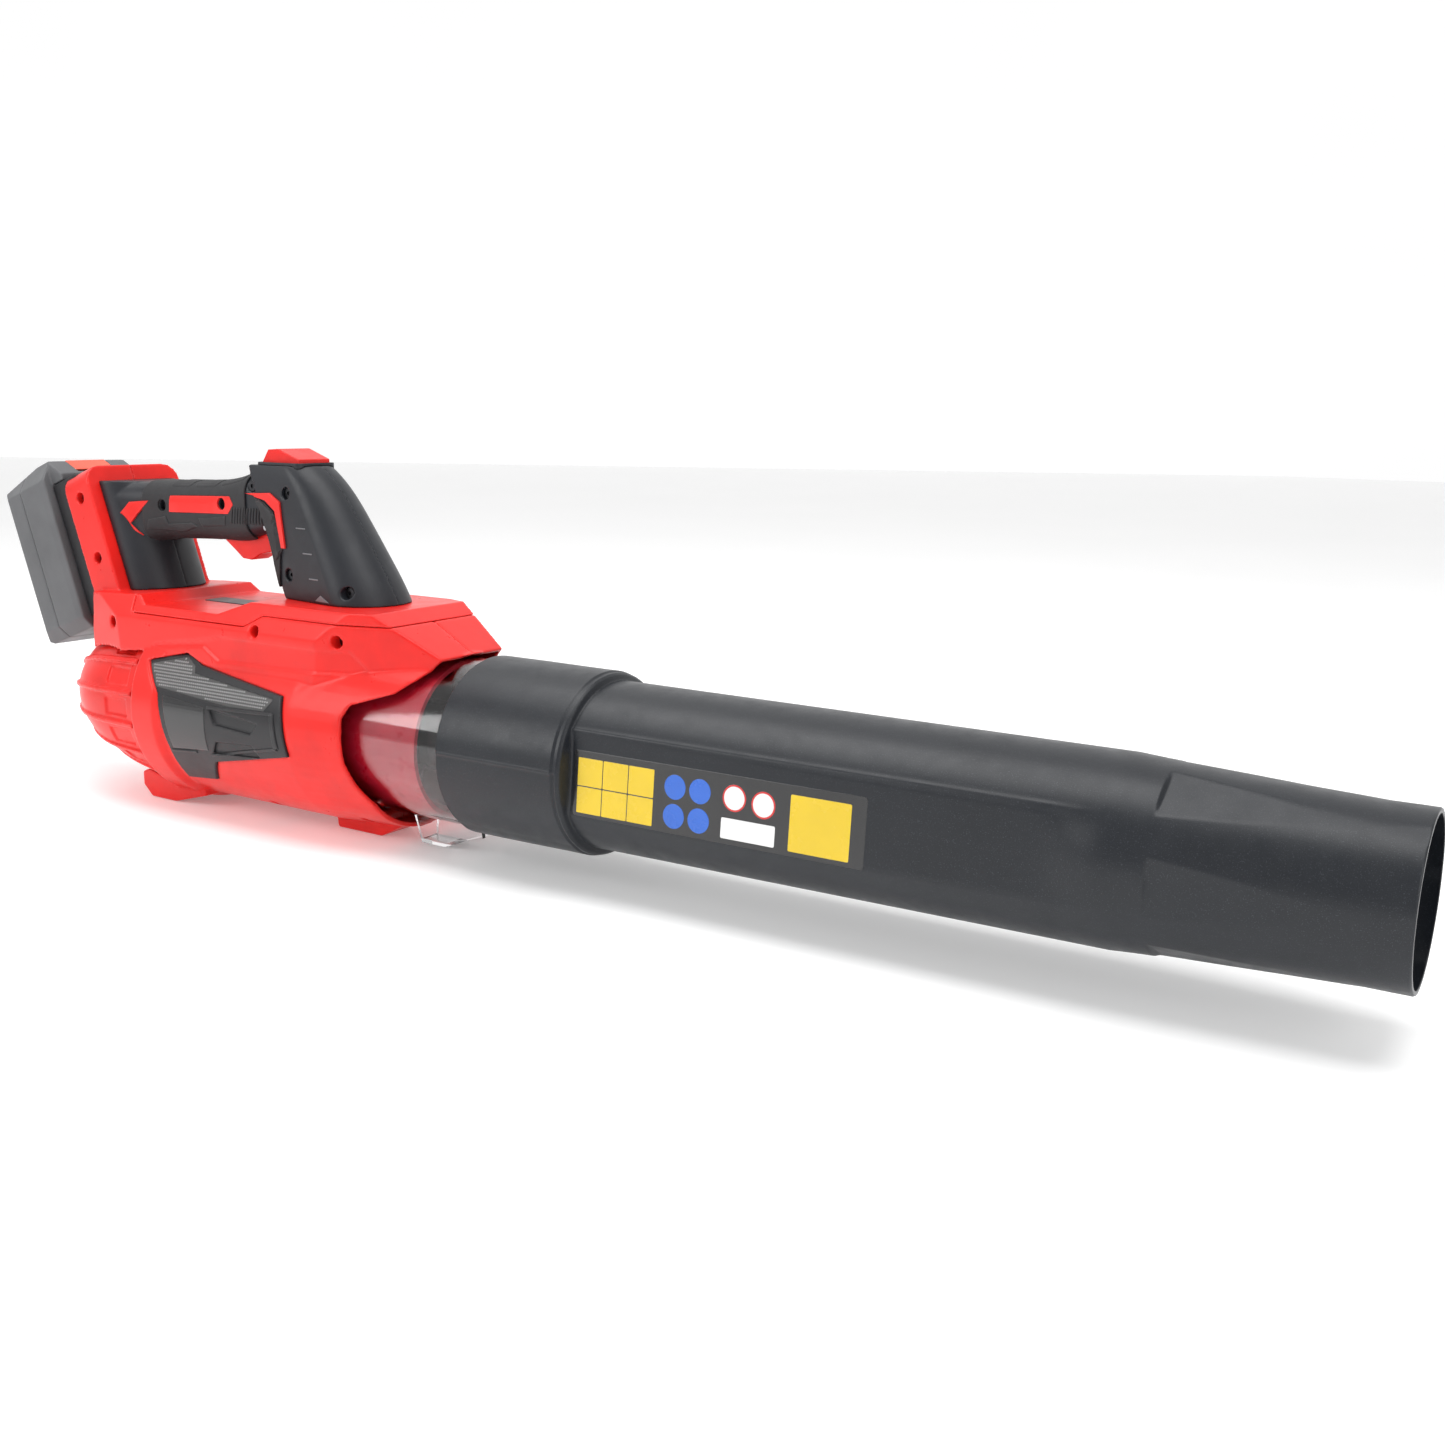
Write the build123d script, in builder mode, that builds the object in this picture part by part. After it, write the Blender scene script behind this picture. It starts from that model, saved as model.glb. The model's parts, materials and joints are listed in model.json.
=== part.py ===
from build123d import *
import math
import os

# Cordless axial leaf blower, standing on its feet. Millimetres.
# +X runs forward along the air path to the nozzle, +Y is to the left, +Z is up.
# The origin is on the ground, under the middle of the blower's bounding box.

# ---------------------------------------------------------------- driving dimensions

AXIS_Z = 66.0               # height of the air path's axis above the ground
MOUTH_X = 455.0             # front end of the nozzle
TUBE_LENGTH = 498.0         # collar's rear rim to the nozzle's mouth
COLLAR_X = MOUTH_X - TUBE_LENGTH
COLLAR_LENGTH = 85.0
COLLAR_R = 52.0
TUBE_REAR_R = 46.8
TUBE_FRONT_R = 45.4
TAPER_X = 332.0             # where the nozzle starts to narrow
SPIGOT_LENGTH = 20.0        # straight end of the nozzle, which accessories push onto
MOUTH_R = 39.3
TUBE_WALL = 2.0
FIT_GAP = 0.3               # between pieces that slide apart

BARREL_R = 60.5             # fan housing
HOOP_R = 63.5
HOUSING_WALL = 2.6
HOUSING_REAR_X = -292.0
HOUSING_FRONT_X = -57.0
DECK_HALF_WIDTH = 50.0
DECK_TOP_Z = 141.0          # platform under the handle's post
DECK_LOW_Z = 132.0          # step behind it, with the status window
DECK_SEAM_X = -300.0        # rear end of the top cover
DECK_SEAM_Z = 126.5         # joint between the housing and the top cover, behind the post

DUCT_R = 49.4               # clear outlet duct
DUCT_WALL = 2.2
DUCT_REAR_X = -176.0
DUCT_FRONT_X = 28.0
SHROUD_R = 46.6             # fan shroud inside the duct
SHROUD_WALL = 2.4
IMPELLER_R = 43.2
HUB_R = 21.0

TILT = 20.0                 # the battery dock leans back by this angle
DOCK_X = -367.0             # middle of the dock's rear face
DOCK_Z = 166.0
DOCK_HALF_WIDTH = 36.0
DOCK_DEPTH = 26.0
BATTERY_HALF_WIDTH = 37.0
BATTERY_BACK = 76.0         # from the dock's face to the battery's rear face
BATTERY_TOP = 62.0
BATTERY_BOTTOM = -53.5

SCREW_R = 1.7
SCREW_HEAD_R = 3.2
BIG = 700.0

# ---------------------------------------------------------------- planes and axes

AIR_AXIS = Axis((0, 0, AXIS_Z), (1, 0, 0))
SIN_TILT = math.sin(math.radians(TILT))
COS_TILT = math.cos(math.radians(TILT))
DOCK_ORIGIN = Vector(DOCK_X, 0, DOCK_Z)
DOCK_OUT = Vector(-COS_TILT, 0, -SIN_TILT)      # from the dock into the battery
DOCK_UP = Vector(-SIN_TILT, 0, COS_TILT)        # the way the battery slides off
DOCK_SIDE = Plane(DOCK_ORIGIN, x_dir=DOCK_OUT, z_dir=(0, 1, 0))     # local (out, up)


def air_plane(x):
    """Plane across the air path, facing forward, with its origin on the axis."""
    return Plane((x, 0, AXIS_Z), x_dir=(0, 1, 0), z_dir=(1, 0, 0))


def dock_level(up):
    """Plane across the dock's slide direction; local x runs out of the dock."""
    return Plane(DOCK_ORIGIN + DOCK_UP * up, x_dir=DOCK_OUT, z_dir=DOCK_UP)


def dock_face(out):
    """Plane parallel to the dock's rear face; local y runs up the slide."""
    return Plane(DOCK_ORIGIN + DOCK_OUT * out, x_dir=(0, -1, 0), z_dir=DOCK_OUT)


# ---------------------------------------------------------------- shared shape helpers


def turn(profile, mode=Mode.ADD):
    """Solid of revolution about the air axis, from (x, radius) corners."""
    corners = [(profile[0][0], 0)] + profile + [(profile[-1][0], 0)]
    with BuildSketch(Plane.XZ) as section:
        with BuildLine():
            Polyline(*[(x, AXIS_Z + r) for x, r in corners], close=True)
        make_face()
    revolve(section.sketch, axis=AIR_AXIS, mode=mode)


def pipe(x0, x1, outer_r, inner_r, mode=Mode.ADD):
    """Straight tube on the air axis."""
    with BuildSketch(air_plane(x0)) as ring:
        Circle(outer_r)
        Circle(inner_r, mode=Mode.SUBTRACT)
    extrude(ring.sketch, amount=x1 - x0, mode=mode)


def prism(outline, half_width, plane=Plane.XZ, mode=Mode.ADD):
    """Prism from an outline in side view, symmetric about the middle plane."""
    with BuildSketch(plane) as face:
        with BuildLine():
            Polyline(*outline, close=True)
        make_face()
    extrude(face.sketch, amount=half_width, both=True, mode=mode)


def slab(outline, y0, y1, plane=Plane.XZ, mode=Mode.ADD):
    """Prism from an outline in side view, from y0 to y1."""
    middle = Plane(plane.origin + Vector(0, (y0 + y1) / 2, 0), x_dir=plane.x_dir, z_dir=plane.z_dir)
    prism(outline, abs(y1 - y0) / 2, middle, mode)


def box(x0, x1, y0, y1, z0, z1, mode=Mode.ADD):
    """Box between two corners."""
    with Locations(((x0 + x1) / 2, (y0 + y1) / 2, (z0 + z1) / 2)):
        Box(x1 - x0, y1 - y0, z1 - z0, mode=mode)


def dock_box(out0, out1, half_width, up0, up1, mode=Mode.ADD):
    """Box in the dock's own directions, symmetric about the middle plane."""
    prism([(out0, up0), (out1, up0), (out1, up1), (out0, up1)], half_width, DOCK_SIDE, mode)


def keep_side(side):
    """Keep the half of the current part on one side: +1 is left, -1 is right."""
    split(bisect_by=Plane.XZ, keep=Keep.BOTTOM if side > 0 else Keep.TOP)


def finish(part, name):
    """Label a piece and write its file."""
    part.label = name
    export_step(part, f"parts/{name}.step")


os.makedirs("parts", exist_ok=True)
SIDES = {"right": -1, "left": 1}

# ---------------------------------------------------------------- shared blanks

# Intake basket: a dome that closes the rear of the barrel and leans with the battery.
# Each section is (x, z, half width, half height, lean).
BASKET_SECTIONS = [
    (-289.0, AXIS_Z, 60.0, 60.0, 0.0),
    (-325.0, 65.0, 58.0, 54.5, 15.0),
    (-360.0, 60.5, 48.0, 40.5, 20.0),
    (-372.0, 59.0, 34.0, 29.0, 20.0),
]


def basket_blank(grow):
    """Closed dome, larger than the basket by grow."""
    with BuildPart() as dome:
        for index, (x, z, half_width, half_height, lean) in enumerate(BASKET_SECTIONS):
            angle = math.radians(lean)
            outward = (-math.cos(angle), 0, -math.sin(angle))
            shift = grow if index == len(BASKET_SECTIONS) - 1 else 0
            with BuildSketch(Plane((x - shift, 0, z), x_dir=(0, 1, 0), z_dir=outward)):
                Ellipse(half_width + grow, half_height + grow)
        loft()
    return dome.part


basket_outside = basket_blank(0)
basket_inside = basket_blank(-HOUSING_WALL)
basket_ribbed = basket_blank(2.0)
basket_clearance = basket_blank(2.6)
basket_pocket = basket_blank(-1.2)


def deck_blank(inset):
    """Faceted upper body that carries the handle, smaller by inset."""
    wide = DECK_HALF_WIDTH - inset
    with BuildPart() as deck:
        prism(
            [
                (-352 + inset, 98),
                (-346 + inset, 136 - inset),
                (-297, 138 - inset),
                (-290, DECK_LOW_Z - inset),
                (-222, DECK_LOW_Z - inset),
                (-196, DECK_TOP_Z - inset),
                (-100, DECK_TOP_Z - inset),
                (HOUSING_FRONT_X, 116.5 - inset),
                (HOUSING_FRONT_X, 92),
            ],
            DECK_HALF_WIDTH + 5,
        )
        with BuildSketch(Plane.YZ.offset(-BIG / 2)) as from_front:
            with BuildLine():
                Polyline(
                    (-wide - 2, 60), (-wide, 124), (-wide + 8, 145),
                    (wide - 8, 145), (wide, 124), (wide + 2, 60), close=True,
                )
            make_face()
        extrude(from_front.sketch, amount=BIG, mode=Mode.INTERSECT)
        with BuildSketch(Plane.XY) as plan:
            with BuildLine():
                Polyline(
                    (-352, -42 + inset), (-310, -51 + inset), (-138, -51 + inset), (HOUSING_FRONT_X, -26 + inset),
                    (HOUSING_FRONT_X, 26 - inset), (-138, 51 - inset), (-310, 51 - inset), (-352, 42 - inset),
                    close=True,
                )
            make_face()
        extrude(plan.sketch, amount=BIG, mode=Mode.INTERSECT)
    return deck.part


deck_outside = deck_blank(0)
deck_inside = deck_blank(HOUSING_WALL)

# Housing outside: barrel with its hoop, upper body, battery frame and feet.
FRONT_SCOOP = [
    (-46, 121), (-59, 117), (-70, 106), (-80, 98), (-107, 89.5), (-111, 82), (-109, 56), (-104, 42), (-98, 31),
    (-98, -5), (-46, -5),
]
REAR_FOOT = [(-324, 16), (-324, 7), (-316, 0), (-292, 0), (-262, 8), (-262, 30), (-292, 30)]

with BuildPart() as housing_outside:
    turn([
        (HOUSING_REAR_X, 60.5), (-288, HOOP_R), (-268, HOOP_R), (-262, BARREL_R),
        (-150, BARREL_R), (-100, 57.5), (HOUSING_FRONT_X, 52.5),
    ])
    add(deck_outside)
    with BuildSketch(dock_face(-DOCK_DEPTH)):
        with Locations((0, -10)):
            RectangleRounded(2 * DOCK_HALF_WIDTH, 108, 11)
    extrude(amount=DOCK_DEPTH)
    prism([(-163, 24), (-161, 0), (-124, 0), (-100, 12), (-100, 26)], 13)
    for foot_y in (-22, 22):
        slab(REAR_FOOT, foot_y - 9, foot_y + 9)
    add(basket_clearance, mode=Mode.SUBTRACT)
    prism(FRONT_SCOOP, BIG / 2, mode=Mode.SUBTRACT)

with BuildPart() as housing_hollow:
    turn([
        (HOUSING_REAR_X - 5, 57.4), (-262, BARREL_R - HOUSING_WALL),
        (-150, BARREL_R - HOUSING_WALL), (-100, 54.6), (HOUSING_FRONT_X + 5, DUCT_R + 0.3),
    ])
    add(deck_inside)

# Side panel outlines, in side view. The panels sit in a recess of the barrel.
PANEL_SEAT_R = 59.4
PANEL_R = 62.0
PANEL = [
    (-280, 99), (-247, 106), (-233, 100), (-157, 90), (-150, 55),
    (-218, 42), (-228, 28), (-257, 25), (-259, 48), (-265, 80),
]
MESH = [
    (-278, 97), (-248, 103.5), (-238, 99), (-236, 95),
    (-163, 87.5), (-170, 80), (-200, 79), (-267, 84),
]
SLOTS = [
    [(-217, 76), (-174, 72), (-180, 65), (-212, 67)],
    [(-217, 48), (-174, 51), (-180, 58), (-212, 56)],
]

# Post of the handle: (z, rear x, nose x, rear half width, front half width).
POST_SECTIONS = [
    (134, -188, -113, 19, 27.5),
    (165, -200, -130, 18.5, 25),
    (190, -209, -147, 18, 22),
    (208, -218, -161, 17.5, 19.5),
    (221, -223, -176, 16, 16.5),
]


def post_blank(grow):
    """Front post of the handle: flat-sided at the rear, a round nose at the front."""
    with BuildPart() as post:
        for z, rear, nose, rear_half, front_half in POST_SECTIONS:
            wide_rear = rear_half + grow
            wide_front = front_half + grow
            shoulder = nose + grow - wide_front
            with BuildSketch(Plane.XY.offset(z)):
                with BuildLine():
                    Line((rear - grow, wide_rear), (rear - grow, -wide_rear))
                    Line((rear - grow, -wide_rear), (shoulder, -wide_front))
                    ThreePointArc((shoulder, -wide_front), (nose + grow, 0), (shoulder, wide_front))
                    Line((shoulder, wide_front), (rear - grow, wide_rear))
                make_face()
        loft()
    return post.part


# Grip: (x, middle z, half width, half height).
GRIP_SECTIONS = [
    (-344, 182.0, 27.0, 24.0),
    (-334, 184.5, 22.5, 21.5),
    (-322, 187.5, 18.8, 18.8),
    (-308, 189.0, 17.4, 17.4),
    (-285, 189.8, 17.0, 17.0),
    (-255, 191.0, 17.0, 17.4),
    (-228, 194.5, 17.0, 19.5),
    (-205, 199.0, 17.0, 22.0),
]


def grip_blank(grow):
    """Grip that joins the rear block to the post."""
    with BuildPart() as grip:
        for x, z, half_width, half_height in GRIP_SECTIONS:
            with BuildSketch(Plane((x, 0, z), x_dir=(0, 1, 0), z_dir=(1, 0, 0))):
                RectangleRounded(2 * (half_width + grow), 2 * (half_height + grow), 12 + grow)
        loft()
    return grip.part


post_outside = post_blank(0)
post_skin = post_blank(1.2)
grip_outside = grip_blank(0)
grip_skin = grip_blank(1.4)

BLOCK_TOP_Z = 206.5
BLOCK_HALF_WIDTH = 28.0
BLOCK_DEPTH = 21.0

with BuildPart() as rear_block:
    with BuildSketch(dock_level(-60)):
        with Locations((-DOCK_DEPTH, 0)):
            Ellipse(BLOCK_DEPTH, BLOCK_HALF_WIDTH)
    extrude(amount=103)
    dock_box(-DOCK_DEPTH, 40, 60, -100, 100, Mode.SUBTRACT)
    box(-BIG, BIG, -BIG, BIG, -BIG, 130, mode=Mode.SUBTRACT)
    box(-BIG, BIG, -BIG, BIG, BLOCK_TOP_Z, BIG, mode=Mode.SUBTRACT)

with BuildPart() as handle_outside:
    add(rear_block.part)
    add(grip_outside)
    add(post_outside)
    add(housing_outside.part, mode=Mode.SUBTRACT)

with BuildPart() as handle_hollow:
    box(-330, -202, -10, 10, 181, 200)
    prism([(-180, 139), (-125, 139), (-150, 180), (-163, 197), (-202, 197), (-202, 188), (-194, 170)], 12)
    dock_box(-DOCK_DEPTH - 11, -DOCK_DEPTH - 3, 16, -60, 25)

# ---------------------------------------------------------------- housing

# Screws run across the housing at these (x, z); those in the frame are (out, up).
UPPER_SCREWS = [(-187, 124.5), (-122, 124)]
LOWER_SCREWS = [(-198, 12), (-122, 12.5)]
HOUSING_SCREWS = UPPER_SCREWS + LOWER_SCREWS
SADDLE_SCREW = (-320, 119)  # a short screw on each side, above the intake basket
FRAME_SCREWS = [(-13.7, 26.0), (-13.7, -14.6)]
BOSS_R = 4.2
HEAD_BOSS_R = 5.4
frame_points = [DOCK_ORIGIN + DOCK_OUT * out + DOCK_UP * up for out, up in FRAME_SCREWS]
cross_screws = HOUSING_SCREWS + [(point.X, point.Z) for point in frame_points]


def across(x, z, y0, y1, radius, mode=Mode.ADD):
    """Round bar or hole along Y."""
    with BuildSketch(Plane((x, y0, z), x_dir=(1, 0, 0), z_dir=(0, 1, 0))) as disc:
        Circle(radius)
    extrude(disc.sketch, amount=y1 - y0, mode=mode)


def screw_seat(x, z, head_y):
    """Hole for a screw whose head sits head_y out on the right-hand side."""
    across(x, z, -BIG / 2, -head_y, SCREW_HEAD_R + 0.5, Mode.SUBTRACT)
    across(x, z, -head_y - 1, head_y, SCREW_R, Mode.SUBTRACT)


# Heads sit this far from the middle plane.
SCREW_HEAD_Y = [40, 38, 14, 12, 30, 30]
SADDLE_HEAD_Y = 40
SADDLE_END_Y = 31

with BuildPart() as housing_bosses:
    for screw_x, screw_z in LOWER_SCREWS:
        across(screw_x, screw_z, -48, 48, BOSS_R)
    for side in SIDES.values():
        for screw_x, screw_z in UPPER_SCREWS:
            across(screw_x, screw_z, side * 14, side * 48, HEAD_BOSS_R)
        across(*SADDLE_SCREW, side * 30, side * 48, HEAD_BOSS_R)
    add(housing_outside.part, mode=Mode.INTERSECT)

with BuildPart() as panel_recess:
    pipe(-300, -140, 90, PANEL_SEAT_R)
    prism(PANEL, BIG / 2, mode=Mode.INTERSECT)

# The joint under the top cover steps up in front of the status window.
deck_seam = [(DECK_SEAM_X, DECK_SEAM_Z), (-197, DECK_SEAM_Z), (-182, DECK_SEAM_Z + 7.5), (0, DECK_SEAM_Z + 7.5)]

# Shallow facet that runs along each side of the upper body, under the screws.
FACET_DEPTH = 1.1
FACET = [
    (-284, 106), (-274, 110), (-233, 115.5), (-217, 119), (-114, 119),
    (-99, 105), (-162, 104.5), (-219, 103.5), (-232, 111),
]

with BuildPart() as side_facets:
    add(deck_outside)
    add(deck_blank(FACET_DEPTH), mode=Mode.SUBTRACT)
    prism(FACET, BIG / 2, mode=Mode.INTERSECT)

with BuildPart() as housing_shell:
    add(housing_outside.part)
    add(housing_hollow.part, mode=Mode.SUBTRACT)
    add(housing_bosses.part)
    prism(deck_seam + [(0, BIG), (DECK_SEAM_X, BIG)], BIG / 2, mode=Mode.SUBTRACT)
    add(side_facets.part, mode=Mode.SUBTRACT)
    add(panel_recess.part, mode=Mode.SUBTRACT)
    dock_box(-10, 1, 31.2, -46.2, 60, Mode.SUBTRACT)
    prism([(-22, -62), (-12, -62), (-9, -44), (-9, -30), (-22, -30)], 12, DOCK_SIDE, Mode.SUBTRACT)
    for (screw_x, screw_z), head_y in zip(cross_screws, SCREW_HEAD_Y):
        screw_seat(screw_x, screw_z, head_y)
    add(basket_clearance, mode=Mode.SUBTRACT)
    for side in SIDES.values():
        across(*SADDLE_SCREW, side * SADDLE_HEAD_Y, side * 60, SCREW_HEAD_R + 0.5, Mode.SUBTRACT)
        across(*SADDLE_SCREW, side * (SADDLE_END_Y - 1), side * (SADDLE_HEAD_Y + 1), SCREW_R, Mode.SUBTRACT)

for side_name, side in SIDES.items():
    with BuildPart() as housing:
        add(housing_shell.part)
        keep_side(side)
    finish(housing.part, f"housing_{side_name}")

with BuildPart() as top_cover:
    add(deck_outside)
    add(deck_inside, mode=Mode.SUBTRACT)
    prism(deck_seam + [(0, 0), (DECK_SEAM_X, 0)], BIG / 2, mode=Mode.SUBTRACT)
    box(-BIG, DECK_SEAM_X + 0.2, -BIG, BIG, -BIG, BIG, mode=Mode.SUBTRACT)
    box(-281, -239, -8.5, 8.5, 131.2, 140, mode=Mode.SUBTRACT)
    box(-165, -150, -6, 6, 130, 145, mode=Mode.SUBTRACT)
finish(top_cover.part, "top_cover")

with BuildPart() as status_plate:
    box(-280.8, -239.2, -8.3, 8.3, 131.2, 132.3)
    fillet(status_plate.edges().filter_by(Axis.Z), 2)
finish(status_plate.part, "status_plate")

# ---------------------------------------------------------------- intake basket

RIB_COUNT = 18
RIB_THICKNESS = 3.0
WINDOW_COUNT = 12

with BuildPart() as basket_ribs:
    with BuildSketch(air_plane(-292)):
        with PolarLocations(45, RIB_COUNT, start_angle=10):
            Rectangle(60, RIB_THICKNESS)
    extrude(amount=-110)
    add(basket_ribbed, mode=Mode.INTERSECT)
    add(basket_inside, mode=Mode.SUBTRACT)

with BuildPart() as basket_windows:
    with BuildSketch(air_plane(-350)):
        with PolarLocations(27, WINDOW_COUNT):
            Rectangle(26, 4.5)
    extrude(amount=-40)

with BuildPart() as basket_pockets:
    with BuildSketch(air_plane(-299)):
        with PolarLocations(50, RIB_COUNT, start_angle=0):
            Rectangle(40, 11.5)
    extrude(amount=-22)
    add(basket_pocket, mode=Mode.SUBTRACT)

with BuildPart() as intake_grille:
    add(basket_outside)
    add(basket_ribs.part)
    add(basket_inside, mode=Mode.SUBTRACT)
    add(basket_windows.part, mode=Mode.SUBTRACT)
    add(basket_pockets.part, mode=Mode.SUBTRACT)
    box(-BIG, HOUSING_REAR_X - FIT_GAP / 2, -BIG, BIG, -BIG, BIG, mode=Mode.INTERSECT)
finish(intake_grille.part, "intake_grille")

# ---------------------------------------------------------------- side panels and their mesh

SLOT_FLOOR_R = 60.3

with BuildPart() as panel_slots:
    for slot in SLOTS:
        prism(slot, BIG / 2)
    pipe(-300, -140, 90, SLOT_FLOOR_R, Mode.INTERSECT)

for side_name, side in SIDES.items():
    with BuildPart() as side_panel:
        pipe(-300, -140, PANEL_R, PANEL_SEAT_R)
        prism(PANEL, BIG / 2, mode=Mode.INTERSECT)
        prism(MESH, BIG / 2, mode=Mode.SUBTRACT)
        add(panel_slots.part, mode=Mode.SUBTRACT)
        keep_side(side)
    finish(side_panel.part, f"side_panel_{side_name}")

    with BuildPart() as side_mesh:
        pipe(-300, -140, PANEL_R - 0.4, PANEL_SEAT_R)
        prism(MESH, BIG / 2, mode=Mode.INTERSECT)
        keep_side(side)
    finish(side_mesh.part, f"side_mesh_{side_name}")

# ---------------------------------------------------------------- air duct, shroud and stator

with BuildPart() as outlet_duct:
    pipe(DUCT_REAR_X, DUCT_FRONT_X, DUCT_R, DUCT_R - DUCT_WALL)
    with BuildSketch(Plane.XZ) as keel_side:
        with BuildLine():
            Polyline((-97.5, 22), (-95, 0), (-77, 0), (-45, 11), (-45, 22), close=True)
        make_face()
    extrude(keel_side.sketch, amount=13, both=True)
    with BuildSketch(Plane.YZ.offset(-104)) as keel_across:
        with BuildLine():
            Polyline((-13, 24), (-8, -1), (8, -1), (13, 24), close=True)
        make_face()
        with BuildLine():
            Polyline((-10.6, 24), (-6, 2.4), (6, 2.4), (10.6, 24), close=True)
        make_face(mode=Mode.SUBTRACT)
    keel_shape = extrude(keel_across.sketch, amount=60, mode=Mode.PRIVATE)
    pipe_shape = Solid.make_cylinder(DUCT_R, BIG, air_plane(-BIG / 2))
    add(keel_shape + pipe_shape, mode=Mode.INTERSECT)
    pipe(DUCT_REAR_X - 1, DUCT_FRONT_X + 1, DUCT_R - DUCT_WALL, 1, Mode.SUBTRACT)
    box(DUCT_REAR_X - 1, DUCT_FRONT_X + 1, -2, 2, AXIS_Z - 2, AXIS_Z + 2, mode=Mode.SUBTRACT)
finish(outlet_duct.part, "outlet_duct")

with BuildPart() as fan_shroud:
    turn([
        (-240, 54), (-234, 54), (-218, 48.8), (DUCT_REAR_X - 0.2, 48.8),
        (DUCT_REAR_X - 0.2, SHROUD_R), (-62, SHROUD_R),
    ])
    turn([
        (-241, 51.4), (-234, 51.4), (-218, SHROUD_R - SHROUD_WALL), (-61, SHROUD_R - SHROUD_WALL),
    ], Mode.SUBTRACT)
finish(fan_shroud.part, "fan_shroud")

STATOR_X0 = -134.0
STATOR_X1 = -76.0
VANE_COUNT = 9

with BuildPart() as stator:
    with Locations(air_plane((STATOR_X0 + STATOR_X1) / 2)):
        with PolarLocations(33, VANE_COUNT):
            Box(30, 1.8, 44, rotation=(14, 0, 0))
    turn([(STATOR_X0, SHROUD_R - SHROUD_WALL - 0.1), (STATOR_X1, SHROUD_R - SHROUD_WALL - 0.1)], Mode.INTERSECT)
    turn([(STATOR_X0, HUB_R), (STATOR_X1, HUB_R), (STATOR_X1 + 24, 13), (STATOR_X1 + 38, 4)])
    turn([(STATOR_X0 - 1, 18.2), (STATOR_X1 - 4, 18.2), (STATOR_X1 + 20, 11)], Mode.SUBTRACT)
finish(stator.part, "stator")

# ---------------------------------------------------------------- motor

MOTOR_X0 = -131.0
MOTOR_X1 = -82.0
MOTOR_R = 18.0
SHAFT_R = 2.5

with BuildPart() as motor_can:
    pipe(MOTOR_X0, MOTOR_X1, MOTOR_R, MOTOR_R - 1.4)
finish(motor_can.part, "motor_can")

with BuildPart() as motor_coils:
    pipe(MOTOR_X0 + 8, MOTOR_X1 - 8, MOTOR_R - 1.5, 9.0)
    with BuildSketch(air_plane(MOTOR_X0)) as coil_gaps:
        with PolarLocations(12.2, 6):
            SlotCenterToCenter(3.4, 2.6)
    extrude(coil_gaps.sketch, amount=60, mode=Mode.SUBTRACT)
finish(motor_coils.part, "motor_coils")

MOTOR_CAPS = {"motor_cap_rear": (MOTOR_X0, MOTOR_X0 + 5), "motor_cap_front": (MOTOR_X1 - 5, MOTOR_X1)}
BEARING_R = 6.5
for cap_name, (cap_x0, cap_x1) in MOTOR_CAPS.items():
    with BuildPart() as motor_cap:
        pipe(cap_x0, cap_x1, MOTOR_R - 1.45, BEARING_R)
        with BuildSketch(air_plane(cap_x0)) as cap_vents:
            with PolarLocations(11.5, 6):
                Circle(2.0)
        extrude(cap_vents.sketch, amount=5, mode=Mode.SUBTRACT)
    finish(motor_cap.part, cap_name)

    with BuildPart() as bearing:
        pipe(cap_x0, cap_x1, BEARING_R, SHAFT_R + 0.02)
        pipe(cap_x0 - 1, cap_x0 + 0.6, 5.6, 3.6, Mode.SUBTRACT)
        pipe(cap_x1 - 0.6, cap_x1 + 1, 5.6, 3.6, Mode.SUBTRACT)
    finish(bearing.part, cap_name.replace("motor_cap", "bearing"))

with BuildPart() as motor_shaft:
    turn([(-177, SHAFT_R), (MOTOR_X1 + 4, SHAFT_R)])
finish(motor_shaft.part, "motor_shaft")

with BuildPart() as rotor_magnet:
    pipe(MOTOR_X0 + 7, MOTOR_X1 - 7, 8.4, SHAFT_R)
finish(rotor_magnet.part, "rotor_magnet")

# ---------------------------------------------------------------- impeller

BLADE_COUNT = 11
IMPELLER_X0 = -164.0
IMPELLER_X1 = -138.0

with BuildPart() as impeller:
    with Locations(air_plane((IMPELLER_X0 + IMPELLER_X1) / 2)):
        with PolarLocations(32, BLADE_COUNT):
            Box(30, 2.2, 34, rotation=(-46, 0, 0))
    turn([(IMPELLER_X0, IMPELLER_R), (IMPELLER_X1, IMPELLER_R)], Mode.INTERSECT)
    turn([(IMPELLER_X0, HUB_R - 1), (IMPELLER_X1, HUB_R)])
    turn([(IMPELLER_X0 + 6, HUB_R - 4), (IMPELLER_X1 + 1, HUB_R - 3)], Mode.SUBTRACT)
    turn([(IMPELLER_X0, 7), (IMPELLER_X1 + 2, 7)])
    turn([(IMPELLER_X0 - 1, SHAFT_R), (IMPELLER_X1 + 3, SHAFT_R)], Mode.SUBTRACT)
finish(impeller.part, "impeller")

with BuildPart() as impeller_nut:
    with BuildSketch(air_plane(IMPELLER_X0 - 5)) as hexagon:
        RegularPolygon(4.6, 6)
        Circle(SHAFT_R, mode=Mode.SUBTRACT)
    extrude(hexagon.sketch, amount=5)
finish(impeller_nut.part, "impeller_nut")

with BuildPart() as nose_cone:
    turn([
        (IMPELLER_X0 - 24, 3), (IMPELLER_X0 - 21, 8), (IMPELLER_X0 - 15, 13.5),
        (IMPELLER_X0 - 8, 17.5), (IMPELLER_X0 - 0.1, HUB_R - 1),
    ])
    turn([(IMPELLER_X0 - 13.5, 5.6), (IMPELLER_X0 + 1, 5.6)], Mode.SUBTRACT)
finish(nose_cone.part, "nose_cone")

# ---------------------------------------------------------------- blower tube

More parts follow.
